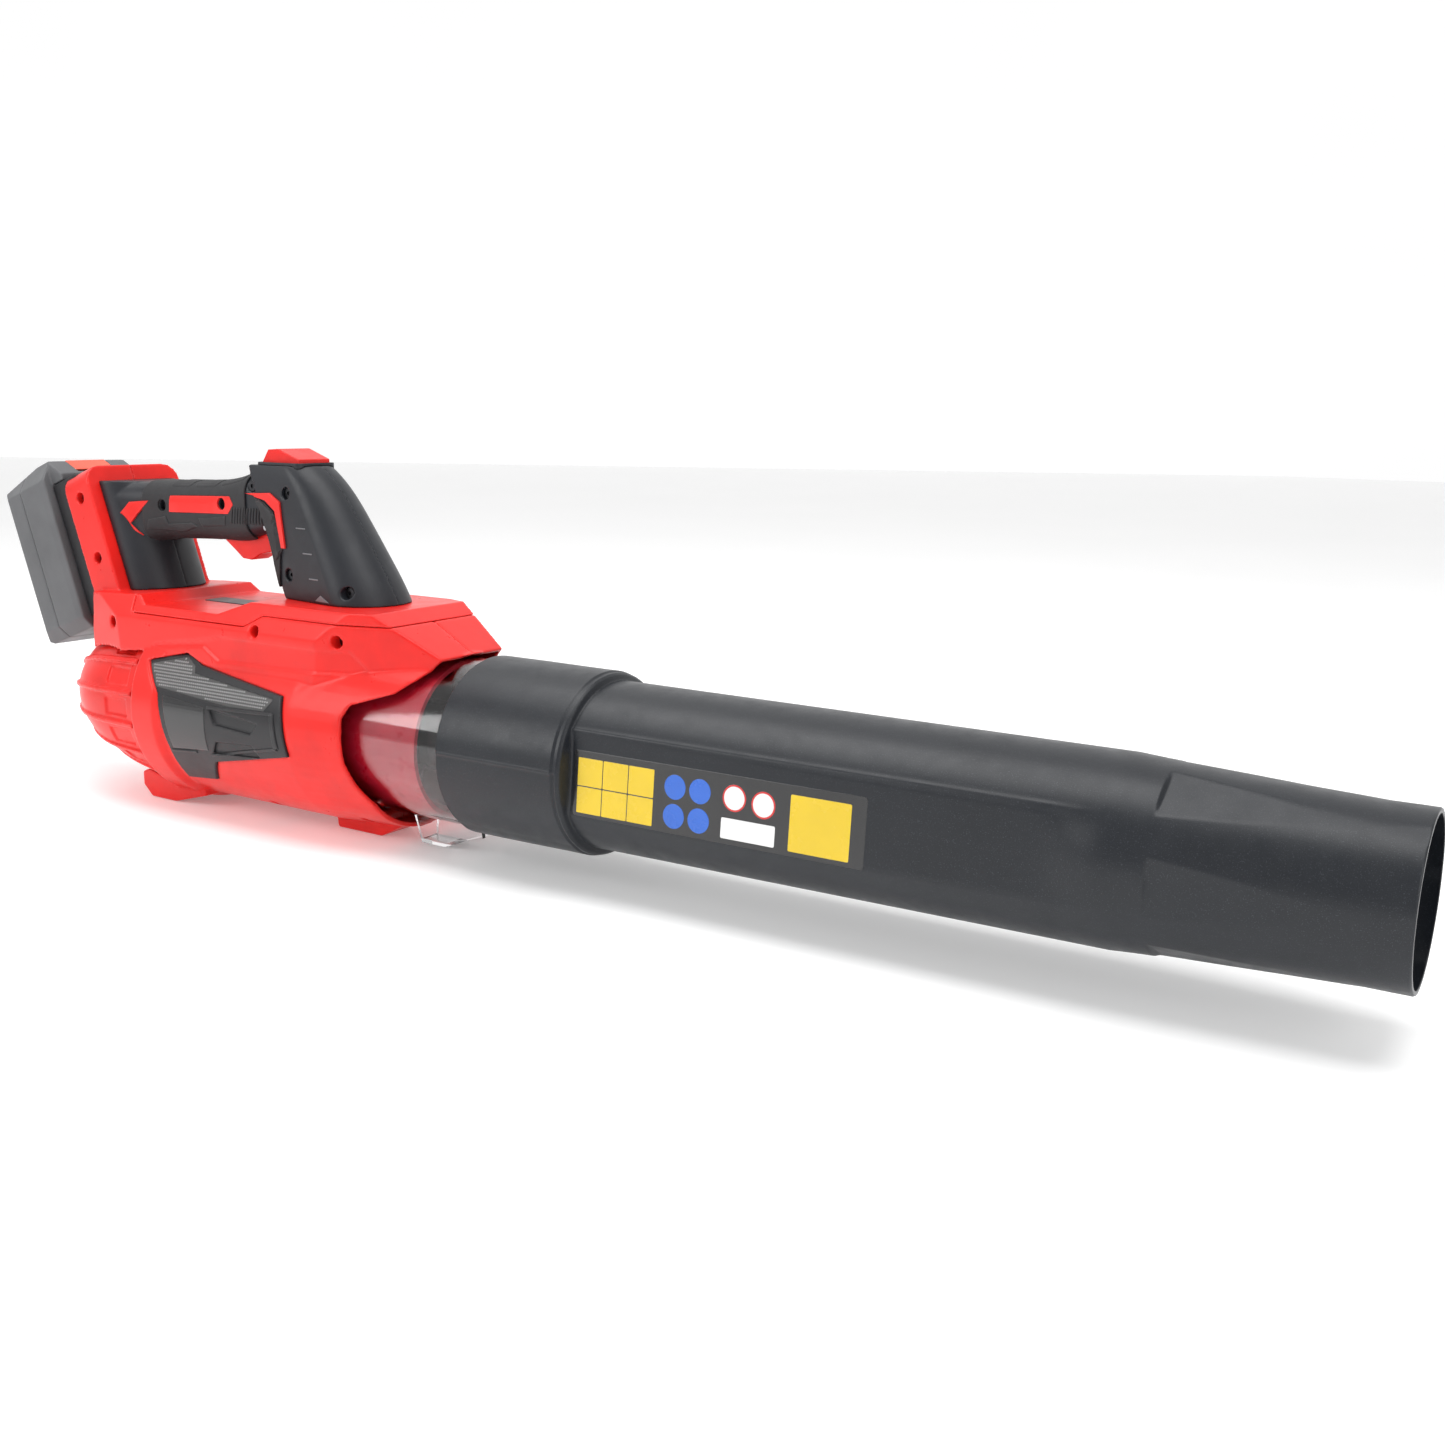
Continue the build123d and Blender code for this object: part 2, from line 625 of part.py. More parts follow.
FLAT_X0 = COLLAR_X + COLLAR_LENGTH
FLAT_X1 = 328.0
FLAT_R = 40.9               # distance of each side flat from the axis
FLAT_LEAN = 85.0            # from straight up to the flat's normal, on each side
SCOOP_X0 = 350.0
SCOOP_X1 = 434.0
SCOOP_R = 41.8              # distance of each scoop from the axis at its rear end
SCOOP_SLOPE = 0.027
SCOOP_HALF_WIDTH = 17.0
SCOOP_ANGLES = (33, 93, 153, 213, 273, 333)
LABEL_THICKNESS = 0.3


def tangent_plane(x, angle, distance, slope=0.0):
    """Plane that faces away from the air axis, at an angle from straight up towards the right."""
    outward = Vector(0, -math.sin(math.radians(angle)), math.cos(math.radians(angle)))
    forward = Vector(1, 0, 0)
    return Plane(
        Vector(x, 0, AXIS_Z) + outward * distance,
        x_dir=forward - outward * slope,
        z_dir=outward + forward * slope,
    )


def shave(x0, x1, half_width, angle, distance, slope=0.0):
    """Cut everything outside a tangent plane between two stations."""
    with BuildSketch(tangent_plane(x0, angle, distance, slope)) as face:
        with Locations(((x1 - x0) / 2, 0)):
            Rectangle(x1 - x0, 2 * half_width)
    extrude(face.sketch, amount=20, mode=Mode.SUBTRACT)


def tube_blank(wall):
    """Outside of the tube (wall 0), or its hollow."""
    spigot_x = MOUTH_X - SPIGOT_LENGTH
    collar_front_x = COLLAR_X + COLLAR_LENGTH
    reach = 1 if wall else 0
    collar_r = DUCT_R + FIT_GAP if wall else COLLAR_R
    collar_end = DUCT_FRONT_X + 2 if wall else collar_front_x
    with BuildPart() as blank:
        turn([
            (COLLAR_X - reach, collar_r), (collar_end, collar_r - (0 if wall else 0.6)),
            (collar_end + 1.5, TUBE_REAR_R - wall), (TAPER_X, TUBE_FRONT_R - wall),
            (spigot_x, MOUTH_R - wall), (MOUTH_X + reach, MOUTH_R - wall),
        ])
        for angle in (FLAT_LEAN, -FLAT_LEAN):
            shave(FLAT_X0 - wall, FLAT_X1 + wall, 30, angle, FLAT_R - wall)
        for angle in SCOOP_ANGLES:
            shave(SCOOP_X0 - wall / 2, SCOOP_X1, SCOOP_HALF_WIDTH, angle, SCOOP_R - wall, SCOOP_SLOPE)
    return blank.part


tube_outside = tube_blank(0)
tube_hollow = tube_blank(TUBE_WALL)

with BuildPart() as blower_tube:
    add(tube_outside)
    add(tube_hollow, mode=Mode.SUBTRACT)
finish(blower_tube.part, "blower_tube")

with BuildPart() as tube_label:
    with BuildSketch(tangent_plane(0, FLAT_LEAN, FLAT_R)):
        with Locations((132, -4.5)):
            Rectangle(172, 35)
    extrude(amount=LABEL_THICKNESS)
finish(tube_label.part, "tube_label")

# ---------------------------------------------------------------- handle

GRIP_SCREWS = [(-304, 192.5), (-247, 196), (-221, 208), (-188, 205)]
POST_SCREWS = [(-187, 156), (-135, 149)]
HANDLE_HEAD_Y = [13, 13, 14, 15, 16, 19]
TRIGGER_PIVOT = (-213, 183)
TRIGGER_PIN_R = 2.0

BUTTON_WELL_X = (-214.6, -182.4)

with BuildPart() as button_well:
    box(*BUTTON_WELL_X, -12.9, 12.9, 209.5, 240)
    with BuildSketch(Plane.XY.offset(199)):
        with Locations((-200, 0)):
            Circle(4.6)
    extrude(amount=12)

with BuildPart() as inlay_blank:
    slab([(-297, 188.5), (-296, 199), (-239, 201), (-236, 196), (-241, 190)], -19, 19)
    slab([(-340, 183), (-331, 193.6), (-316, 195), (-326, 186), (-331, 180), (-324, 172), (-329, 171)], -30, 30)
    slab([(-225, 203.5), (-202, 204.7), (-192.5, 199.6), (-188.5, 172), (-192, 172), (-197, 194), (-206, 200)], -26, 26)

with BuildPart() as handle_bars:
    add(handle_outside.part)
    add(handle_hollow.part, mode=Mode.SUBTRACT)
    add(button_well.part, mode=Mode.SUBTRACT)
    box(-263, -203.5, -8, 8, 140, 199, mode=Mode.SUBTRACT)
    box(-165, -150, -6, 6, 130, 145, mode=Mode.SUBTRACT)
    across(*TRIGGER_PIVOT, -14, 14, TRIGGER_PIN_R, Mode.SUBTRACT)
    for (screw_x, screw_z), head_y in zip(GRIP_SCREWS + POST_SCREWS, HANDLE_HEAD_Y):
        screw_seat(screw_x, screw_z, head_y)

for side_name, side in SIDES.items():
    with BuildPart() as handle:
        add(handle_bars.part)
        keep_side(side)
    finish(handle.part, f"handle_{side_name}")

# Rubber skin: a sleeve on the grip and a chevron on the post's side.
with BuildPart() as skin_blank:
    add(grip_skin)
    box(-322, -226, -BIG, BIG, 150, 240, mode=Mode.INTERSECT)
    add(grip_outside, mode=Mode.SUBTRACT)
    add(handle_outside.part, mode=Mode.SUBTRACT)
    add(inlay_blank.part, mode=Mode.SUBTRACT)
    box(-263, -203.5, -8.4, 8.4, 140, 190, mode=Mode.SUBTRACT)
    for (screw_x, screw_z) in GRIP_SCREWS:
        across(screw_x, screw_z, -40, 40, SCREW_HEAD_R + 0.6, Mode.SUBTRACT)

with BuildPart() as post_chevron:
    add(post_skin)
    add(post_outside, mode=Mode.SUBTRACT)
    slab(
        [
            (-224, 202), (-207, 198.6), (-198.4, 193), (-193.6, 170),
            (-196, 146), (-203, 150), (-208, 188), (-224, 192),
        ],
        -30, 30, mode=Mode.INTERSECT,
    )
    add(grip_skin, mode=Mode.SUBTRACT)
    add(handle_outside.part, mode=Mode.SUBTRACT)

for side_name, side in SIDES.items():
    with BuildPart() as overmould:
        add(skin_blank.part)
        add(post_chevron.part)
        keep_side(side)
    finish(overmould.part, f"grip_rubber_{side_name}")

with BuildPart() as handle_inlays:
    add(grip_skin)
    add(post_skin)
    add(inlay_blank.part, mode=Mode.INTERSECT)
    add(grip_outside, mode=Mode.SUBTRACT)
    add(post_outside, mode=Mode.SUBTRACT)
    add(handle_outside.part, mode=Mode.SUBTRACT)
    add(post_chevron.part, mode=Mode.SUBTRACT)
    for (screw_x, screw_z) in GRIP_SCREWS:
        across(screw_x, screw_z, -40, 40, SCREW_HEAD_R + 0.6, Mode.SUBTRACT)
finish(handle_inlays.part, "handle_inlays")

# ---------------------------------------------------------------- trigger and switch


def coil_spring(x, y, z0, z1, radius, wire_r, turns):
    """Compression spring standing along Z between two heights."""
    pitch = (z1 - z0 - 2 * wire_r) / turns
    with BuildPart() as spring:
        with BuildLine() as path:
            Helix(pitch=pitch, height=z1 - z0 - 2 * wire_r, radius=radius, center=(x, y, z0 + wire_r))
        with BuildSketch(Plane(path.line @ 0, z_dir=path.line % 0)) as wire:
            Circle(wire_r)
        sweep(wire.sketch, path=path.line)
    return spring.part


with BuildPart() as trigger:
    prism([
        (-259.5, 178), (-258, 172), (-249, 166), (-243, 161.5), (-235, 161), (-226, 165.5), (-210, 168.5),
        (-205.5, 176), (-206, 188), (-219, 188.5), (-226, 181.5), (-259.5, 181.5),
    ], 7)
    fillet(trigger.edges().filter_by(Axis.Y).group_by(Axis.Z)[:4], 1.5)
    across(*TRIGGER_PIVOT, -8, 8, TRIGGER_PIN_R + 0.06, Mode.SUBTRACT)
finish(trigger.part, "trigger")

with BuildPart() as trigger_pin:
    across(*TRIGGER_PIVOT, -13.8, 13.8, TRIGGER_PIN_R)
finish(trigger_pin.part, "trigger_pin")

TRIGGER_SPRING_X = -254.0
finish(coil_spring(TRIGGER_SPRING_X, 0, 181.7, 198.8, 2.8, 0.45, 6), "trigger_spring")

with BuildPart() as trigger_switch:
    box(-244, -224, -7.5, 7.5, 190.5, 198.9)
    box(-240, -228, -5, 5, 188.6, 190.5)
finish(trigger_switch.part, "trigger_switch")

# ---------------------------------------------------------------- boost button

with BuildPart() as button_bezel:
    box(-218, -179.5, -15.4, 15.4, 217, 222.8)
    fillet(button_bezel.edges().filter_by(Axis.Z), 4.5)
    box(*BUTTON_WELL_X, -12.9, 12.9, 200, 225, mode=Mode.SUBTRACT)
    add(handle_outside.part, mode=Mode.SUBTRACT)
finish(button_bezel.part, "button_bezel")

with BuildPart() as boost_button:
    prism([(-214.2, 214), (-214.2, 223), (-209, 230.4), (-200, 231), (-182.8, 225), (-182.8, 214)], 12.5)
    fillet(boost_button.edges().group_by(Axis.Z)[-1], 2)
finish(boost_button.part, "boost_button")

finish(coil_spring(-200, 0, 199.2, 213.8, 3.2, 0.4, 6), "button_spring")

# ---------------------------------------------------------------- battery dock

with BuildPart() as battery_dock:
    dock_box(-9.8, 17.5, 31, -46, 44)
    dock_box(2, 18, 22, -40, 60, Mode.SUBTRACT)
    for lip_side in SIDES.values():
        y0, y1 = sorted((lip_side * 17, lip_side * 23))
        slab([(12.5, -40), (17.5, -40), (17.5, 44), (12.5, 44)], y0, y1, DOCK_SIDE)
    dock_box(-11, 3, 9.5, -38, -32, Mode.SUBTRACT)
finish(battery_dock.part, "battery_dock")

BLADE_YS = (-12, -4, 4, 12)

with BuildPart() as contact_block:
    dock_box(2.2, 11, 16, -40, -28.5)
    dock_box(-12, 2.2, 9.5, -38, -32)
finish(contact_block.part, "contact_block")

with BuildPart() as contact_blades:
    for blade_y in BLADE_YS:
        slab([(4.5, -28.5), (9.5, -28.5), (9.5, -10), (4.5, -10)], blade_y - 0.4, blade_y + 0.4, DOCK_SIDE)
finish(contact_blades.part, "contact_blades")

# ---------------------------------------------------------------- battery pack

BATTERY_SPLIT = 46.0


def battery_blank(inset):
    """Faceted outside of the battery pack (inset 0), or its hollow."""
    back = BATTERY_BACK - inset
    side_y = BATTERY_HALF_WIDTH - inset
    top = BATTERY_TOP - inset
    bottom = BATTERY_BOTTOM + inset
    front = 18.3 + inset
    with BuildPart() as blank:
        with BuildSketch(DOCK_SIDE) as seen_from_side:
            with BuildLine():
                Polyline(
                    (front, bottom), (back - 11, bottom), (back, bottom + 9), (back, top - 20), (back - 8, top - 9),
                    (back - 42, top), (front + 2, top), (front, top - 3), close=True,
                )
            make_face()
        extrude(seen_from_side.sketch, amount=BATTERY_HALF_WIDTH + 5, both=True)
        with BuildSketch(dock_level(-100)) as seen_from_above:
            with BuildLine():
                Polyline(
                    (front - 20, -side_y + 4), (front + 5, -side_y), (back - 15, -side_y), (back + 1, -side_y + 12),
                    (back + 1, side_y - 12), (back - 15, side_y), (front + 5, side_y), (front - 20, side_y - 4),
                    close=True,
                )
            make_face()
        extrude(seen_from_above.sketch, amount=200, mode=Mode.INTERSECT)
        with BuildSketch(dock_face(-20)) as seen_from_behind:
            with BuildLine():
                Polyline(
                    (-side_y, bottom + 8), (-side_y, top - 14), (-side_y + 10, top), (side_y - 10, top),
                    (side_y, top - 14), (side_y, bottom + 8), (side_y - 6, bottom), (-side_y + 6, bottom), close=True,
                )
            make_face()
        extrude(seen_from_behind.sketch, amount=BIG / 4, mode=Mode.INTERSECT)
    return blank.part


battery_outside = battery_blank(0)
battery_hollow = battery_blank(2.4)

with BuildPart() as battery_case_front:
    add(battery_outside)
    prism([(7, 45), (18.4, 45), (18.4, 61.5), (6, 49)], 30, DOCK_SIDE)
    dock_box(2.3, 12.2, 21.7, -28.2, 45)
    dock_box(12, 18.4, 16.7, -28.2, 45)
    add(battery_hollow, mode=Mode.SUBTRACT)
    prism([(7.5, 52), (19, 64), (25.5, 57), (17.5, 48.4), (10.2, 49)], 15.3, DOCK_SIDE, Mode.SUBTRACT)
    for blade_y in BLADE_YS:
        slab([(3.6, -30), (10.4, -30), (10.4, -6), (3.6, -6)], blade_y - 1.5, blade_y + 1.5, DOCK_SIDE, Mode.SUBTRACT)
    dock_box(BATTERY_SPLIT, 100, 60, -100, 100, Mode.SUBTRACT)
finish(battery_case_front.part, "battery_case_front")

CASE_SCREWS = [(-20, -38), (20, -38), (-20, 32), (20, 32)]

with BuildPart() as battery_case_rear:
    add(battery_outside)
    add(battery_hollow, mode=Mode.SUBTRACT)
    dock_box(0, BATTERY_SPLIT, 60, -100, 100, Mode.SUBTRACT)
    with BuildSketch(dock_face(BATTERY_BACK - 2)) as head_recess:
        with Locations(*CASE_SCREWS):
            Circle(3.4)
    extrude(head_recess.sketch, amount=4, mode=Mode.SUBTRACT)
    with BuildSketch(dock_face(BATTERY_BACK - 4)) as screw_holes:
        with Locations(*CASE_SCREWS):
            Circle(SCREW_R)
    extrude(screw_holes.sketch, amount=6, mode=Mode.SUBTRACT)
finish(battery_case_rear.part, "battery_case_rear")

with BuildPart() as battery_screws:
    with BuildSketch(dock_face(BATTERY_BACK - 2)) as heads:
        with Locations(*CASE_SCREWS):
            Circle(3.2)
            RegularPolygon(1.5, 6, mode=Mode.SUBTRACT)
    extrude(heads.sketch, amount=1.6)
    with BuildSketch(dock_face(BATTERY_BACK - 2)) as shanks:
        with Locations(*CASE_SCREWS):
            Circle(SCREW_R - 0.05)
    extrude(shanks.sketch, amount=-3)
finish(battery_screws.part, "battery_screws")

CELL_R = 9.2
CELL_LENGTH = 64.4
CELL_OUTS = (30.5, 50.5)
CELL_UPS = (-37.6, -18.4, 0.8, 20.0, 39.2)
cell_places = [DOCK_ORIGIN + DOCK_OUT * out + DOCK_UP * up for out in CELL_OUTS for up in CELL_UPS]

with BuildPart() as battery_cells:
    for place in cell_places:
        across(place.X, place.Z, -CELL_LENGTH / 2, CELL_LENGTH / 2, CELL_R)
finish(battery_cells.part, "battery_cells")

with BuildPart() as cell_holder:
    for holder_side in SIDES.values():
        y0, y1 = sorted((holder_side * 20, holder_side * 26))
        slab([(22, -48), (61, -48), (61, 47), (22, 47)], y0, y1, DOCK_SIDE)
    for place in cell_places:
        across(place.X, place.Z, -30, 30, CELL_R + 0.1, Mode.SUBTRACT)
finish(cell_holder.part, "cell_holder")

with BuildPart() as battery_board:
    dock_box(64.5, 66.1, 22, -42, 34)
    dock_box(66.1, 69.5, 8, -10, 6)
finish(battery_board.part, "battery_board")

with BuildPart() as battery_terminals:
    for blade_y in BLADE_YS:
        for clip_side in (-1, 1):
            y0, y1 = sorted((blade_y + clip_side * 0.75, blade_y + clip_side * 1.4))
            slab([(4.5, -25), (9.5, -25), (9.5, -7), (4.5, -7)], y0, y1, DOCK_SIDE)
finish(battery_terminals.part, "battery_terminals")

with BuildPart() as battery_latch:
    prism([(10.2, 52.8), (19, 62), (21.8, 59.2), (15.2, 52.2)], 15, DOCK_SIDE)
finish(battery_latch.part, "battery_latch")

# ---------------------------------------------------------------- electronics and leads

with BuildPart() as controller_board:
    box(-178, -131, -24, 24, 122.4, 124)
    box(-174, -166, -18, -6, 124, 130)
    box(-174, -166, 6, 18, 124, 130)
    with BuildSketch(Plane.XY.offset(124)) as capacitors:
        with Locations((-142, -12), (-142, 12)):
            Circle(4)
    extrude(capacitors.sketch, amount=9)
finish(controller_board.part, "controller_board")

with BuildPart() as heat_sink:
    box(-164, -150, -20, 20, 124, 126)
    for fin_index in range(5):
        fin_x = -163 + 3 * fin_index
        box(fin_x, fin_x + 1, -20, 20, 126, 132)
finish(heat_sink.part, "heat_sink")

LEAD_R = 1.3


def lead(points, bend, radius=LEAD_R):
    """Insulated lead along straight runs joined by tangent arcs."""
    with BuildPart() as wire:
        with BuildLine() as path:
            FilletPolyline(*points, radius=bend)
        with BuildSketch(Plane(path.line @ 0, z_dir=path.line % 0)) as section:
            Circle(radius)
        sweep(section.sketch, path=path.line)
    return wire.part


with BuildPart() as power_leads:
    for lead_y in (-7, 7):
        add(lead([
            (-342.5, lead_y, 137), (-333, lead_y, 130.5), (-318, lead_y, 131), (-298, lead_y, 131.5),
            (-286, lead_y, 126.4), (-222, lead_y, 126.4), (-209, lead_y, 128.7), (-178.2, lead_y, 128.7),
        ], 6))
finish(power_leads.part, "power_leads")

with BuildPart() as motor_leads:
    for lead_x in (-160, -156, -152):
        add(lead([(lead_x, 21, 122.3), (lead_x, 21, 119), (lead_x, 27, 117.2), (lead_x, 34, 113.5)], 1.5, 1.1))
finish(motor_leads.part, "motor_leads")

SWITCH_LEAD = [(-157, 0, 132.2), (-157, 0, 160), (-190, 0, 192), (-203, 0, 194.5), (-223.8, 0, 194.5)]
finish(lead(SWITCH_LEAD, 8, 1.1), "switch_lead")

# ---------------------------------------------------------------- screws


def cross_screw(x, z, head_y):
    """Pan-head screw that runs from the right-hand half into the left-hand one."""
    across(x, z, -head_y - 1.8, -head_y - 0.05, SCREW_HEAD_R)
    across(x, z, -head_y - 2.2, -head_y - 1, 1.2, Mode.SUBTRACT)
    across(x, z, -head_y - 0.05, head_y - 1, SCREW_R - 0.05)


with BuildPart() as housing_screws:
    for (screw_x, screw_z), head_y in zip(HOUSING_SCREWS, SCREW_HEAD_Y):
        cross_screw(screw_x, screw_z, head_y)
    for side in SIDES.values():
        across(*SADDLE_SCREW, side * (SADDLE_HEAD_Y + 0.05), side * (SADDLE_HEAD_Y + 1.8), SCREW_HEAD_R)
        across(*SADDLE_SCREW, side * (SADDLE_HEAD_Y + 1), side * (SADDLE_HEAD_Y + 2), 1.2, Mode.SUBTRACT)
        across(*SADDLE_SCREW, side * SADDLE_END_Y, side * (SADDLE_HEAD_Y + 0.05), SCREW_R - 0.05)
finish(housing_screws.part, "housing_screws")

with BuildPart() as frame_screws:
    for point in frame_points:
        cross_screw(point.X, point.Z, SCREW_HEAD_Y[-1])
finish(frame_screws.part, "frame_screws")

with BuildPart() as handle_screws:
    for (screw_x, screw_z), head_y in zip(GRIP_SCREWS + POST_SCREWS, HANDLE_HEAD_Y):
        cross_screw(screw_x, screw_z, head_y)
finish(handle_screws.part, "handle_screws")
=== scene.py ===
"""Looks of the cordless leaf blower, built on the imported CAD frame.

Metres. +X runs forward to the nozzle, +Y is to the left, +Z is up.
"""
import json
import math

import bmesh
import bpy
from mathutils import Matrix, Vector, bvhtree, geometry

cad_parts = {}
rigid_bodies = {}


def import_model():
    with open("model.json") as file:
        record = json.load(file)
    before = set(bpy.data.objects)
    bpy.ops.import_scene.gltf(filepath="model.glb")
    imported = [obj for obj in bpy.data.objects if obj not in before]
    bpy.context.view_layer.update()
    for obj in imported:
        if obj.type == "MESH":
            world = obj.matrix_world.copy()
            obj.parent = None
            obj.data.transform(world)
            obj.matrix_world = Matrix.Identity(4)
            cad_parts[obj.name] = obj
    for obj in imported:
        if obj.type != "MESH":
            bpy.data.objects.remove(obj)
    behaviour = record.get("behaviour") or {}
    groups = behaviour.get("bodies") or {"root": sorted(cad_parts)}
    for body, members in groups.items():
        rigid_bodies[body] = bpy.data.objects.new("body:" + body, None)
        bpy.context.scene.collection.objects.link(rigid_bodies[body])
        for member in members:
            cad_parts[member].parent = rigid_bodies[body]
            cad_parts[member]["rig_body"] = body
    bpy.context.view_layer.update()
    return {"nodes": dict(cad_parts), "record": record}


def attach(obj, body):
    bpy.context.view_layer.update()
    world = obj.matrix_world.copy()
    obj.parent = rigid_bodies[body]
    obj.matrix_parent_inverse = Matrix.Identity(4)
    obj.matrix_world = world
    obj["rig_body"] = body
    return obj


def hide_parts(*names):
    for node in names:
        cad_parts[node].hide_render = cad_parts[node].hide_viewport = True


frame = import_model()
nodes = frame["nodes"]
MM = 0.001
AXIS_Z = 0.066

# ---------------------------------------------------------------- camera

CAMERA_PLACE = Vector((0.51852, -0.65214, 0.26132))
YAW, PITCH, ROLL = 0.557, 0.209, 0.015

forward = Vector((-math.sin(YAW) * math.cos(PITCH), math.cos(YAW) * math.cos(PITCH), -math.sin(PITCH)))
level_right = forward.cross(Vector((0, 0, 1))).normalized()
level_up = level_right.cross(forward)
right = level_right * math.cos(ROLL) + level_up * math.sin(ROLL)
up = level_up * math.cos(ROLL) - level_right * math.sin(ROLL)

camera = bpy.data.objects.new("camera", bpy.data.cameras.new("camera"))
bpy.context.scene.collection.objects.link(camera)
camera.data.lens = 37.37
camera.data.sensor_width = 36.0
camera.data.clip_start = 0.01
camera.matrix_world = Matrix((
    (right.x, up.x, -forward.x, CAMERA_PLACE.x),
    (right.y, up.y, -forward.y, CAMERA_PLACE.y),
    (right.z, up.z, -forward.z, CAMERA_PLACE.z),
    (0, 0, 0, 1),
))
bpy.context.scene.camera = camera

# ---------------------------------------------------------------- light

world = bpy.data.worlds.new("studio")
world.use_nodes = True
world.node_tree.nodes["Background"].inputs["Color"].default_value = (1, 1, 1, 1)
world.node_tree.nodes["Background"].inputs["Strength"].default_value = 0.6
bpy.context.scene.world = world
bpy.context.scene.view_settings.view_transform = "Standard"


def softbox(name, place, target, width, height, power):
    """Rectangular studio light at a place, facing a target."""
    light = bpy.data.lights.new(name, "AREA")
    light.shape = "RECTANGLE"
    light.size = width
    light.size_y = height
    light.energy = power
    lamp = bpy.data.objects.new(name, light)
    lamp.location = place
    lamp.rotation_euler = (Vector(target) - Vector(place)).to_track_quat("-Z", "Y").to_euler()
    bpy.context.scene.collection.objects.link(lamp)


softbox("light_overhead", (0.0, -0.1, 1.5), (0.0, 0.0, 0.1), 2.2, 0.9, 21)
softbox("light_left_front", (-0.9, -1.2, 0.8), (-0.2, 0.0, 0.1), 0.7, 0.7, 7)
softbox("light_nozzle", (1.3, -0.5, 0.6), (0.3, 0.0, 0.07), 0.6, 0.6, 3)

# ---------------------------------------------------------------- materials


def new_material(name):
    """Empty node material and its shader."""
    made = bpy.data.materials.new(name)
    made.use_nodes = True
    shader = made.node_tree.nodes["Principled BSDF"]
    return made, shader


def noise(tree, scale, detail=3.0, roughness=0.55, stretch=(1, 1, 1)):
    """Noise over the object's own space; scale is in features per metre."""
    place = tree.nodes.new("ShaderNodeTexCoord")
    mapping = tree.nodes.new("ShaderNodeMapping")
    mapping.inputs["Scale"].default_value = stretch
    texture = tree.nodes.new("ShaderNodeTexNoise")
    texture.inputs["Scale"].default_value = scale
    texture.inputs["Detail"].default_value = detail
    texture.inputs["Roughness"].default_value = roughness
    tree.links.new(place.outputs["Object"], mapping.inputs["Vector"])
    tree.links.new(mapping.outputs["Vector"], texture.inputs["Vector"])
    return texture.outputs["Fac"]


def remap(tree, value, low, high, from_low=0.3, from_high=0.7):
    """Value mapped to a new range, clamped."""
    node = tree.nodes.new("ShaderNodeMapRange")
    node.inputs["From Min"].default_value = from_low
    node.inputs["From Max"].default_value = from_high
    node.inputs["To Min"].default_value = low
    node.inputs["To Max"].default_value = high
    tree.links.new(value, node.inputs["Value"])
    return node.outputs["Result"]


def mixed(tree, factor, first, second):
    """Colour between two colours or colour outputs."""
    node = tree.nodes.new("ShaderNodeMix")
    node.data_type = "RGBA"
    tree.links.new(factor, node.inputs["Factor"])
    for socket, colour in ((node.inputs[6], first), (node.inputs[7], second)):
        if isinstance(colour, tuple):
            socket.default_value = (*colour, 1)
        else:
            tree.links.new(colour, socket)
    return node.outputs[2]


def scaled(colour, factor):
    """Colour times a number."""
    return tuple(min(1.0, channel * factor) for channel in colour)


def moulded(name, colour, roughness, spread=0.05, grain=2600, grain_depth=0.00003, speckle=None,
            edge=0.35, coat=0.0, edge_radius=0.0005, mottle=0.12, shine=0.4):
    """Moulded plastic: faint mottling, uneven gloss, fine grain, lighter worn edges and soft corners."""
    made, shader = new_material(name)
    tree = made.node_tree
    broad = noise(tree, 28, 4)
    base = mixed(tree, remap(tree, broad, 0, 1), scaled(colour, 1 - mottle), scaled(colour, 1 + mottle))
    if speckle:
        dots = noise(tree, 1900, 1.0, 0.4)
        base = mixed(tree, remap(tree, dots, 0, 1, 0.62, 0.72), base, speckle)
    geometry = tree.nodes.new("ShaderNodeNewGeometry")
    worn = remap(tree, geometry.outputs["Pointiness"], 0, edge, 0.52, 0.62)
    base = mixed(tree, worn, base, scaled(tuple(c + 0.05 for c in colour), 1.35))
    tree.links.new(base, shader.inputs["Base Color"])
    uneven = noise(tree, 90, 5, 0.6)
    tree.links.new(remap(tree, uneven, roughness - spread, roughness + spread), shader.inputs["Roughness"])
    shader.inputs["Specular IOR Level"].default_value = shine
    shader.inputs["Coat Weight"].default_value = coat
    shader.inputs["Coat Roughness"].default_value = 0.12
    soft = tree.nodes.new("ShaderNodeBevel")
    soft.samples = 4
    soft.inputs["Radius"].default_value = edge_radius
    bump = tree.nodes.new("ShaderNodeBump")
    bump.inputs["Strength"].default_value = 0.5
    bump.inputs["Distance"].default_value = grain_depth
    tree.links.new(noise(tree, grain, 2), bump.inputs["Height"])
    tree.links.new(soft.outputs["Normal"], bump.inputs["Normal"])
    tree.links.new(bump.outputs["Normal"], shader.inputs["Normal"])
    return made


def metal(name, colour, roughness, stretch=(1, 1, 1), spread=0.08):
    """Metal with fine machining marks and slight tarnish."""
    made, shader = new_material(name)
    tree = made.node_tree
    tarnish = noise(tree, 160, 4)
    base = mixed(tree, remap(tree, tarnish, 0, 1), scaled(colour, 0.8), colour)
    tree.links.new(base, shader.inputs["Base Color"])
    shader.inputs["Metallic"].default_value = 1.0
    marks = noise(tree, 700, 3, 0.6, stretch)
    tree.links.new(remap(tree, marks, roughness - spread, roughness + spread), shader.inputs["Roughness"])
    bump = tree.nodes.new("ShaderNodeBump")
    bump.inputs["Strength"].default_value = 0.3
    bump.inputs["Distance"].default_value = 0.00002
    tree.links.new(marks, bump.inputs["Height"])
    tree.links.new(bump.outputs["Normal"], shader.inputs["Normal"])
    return made


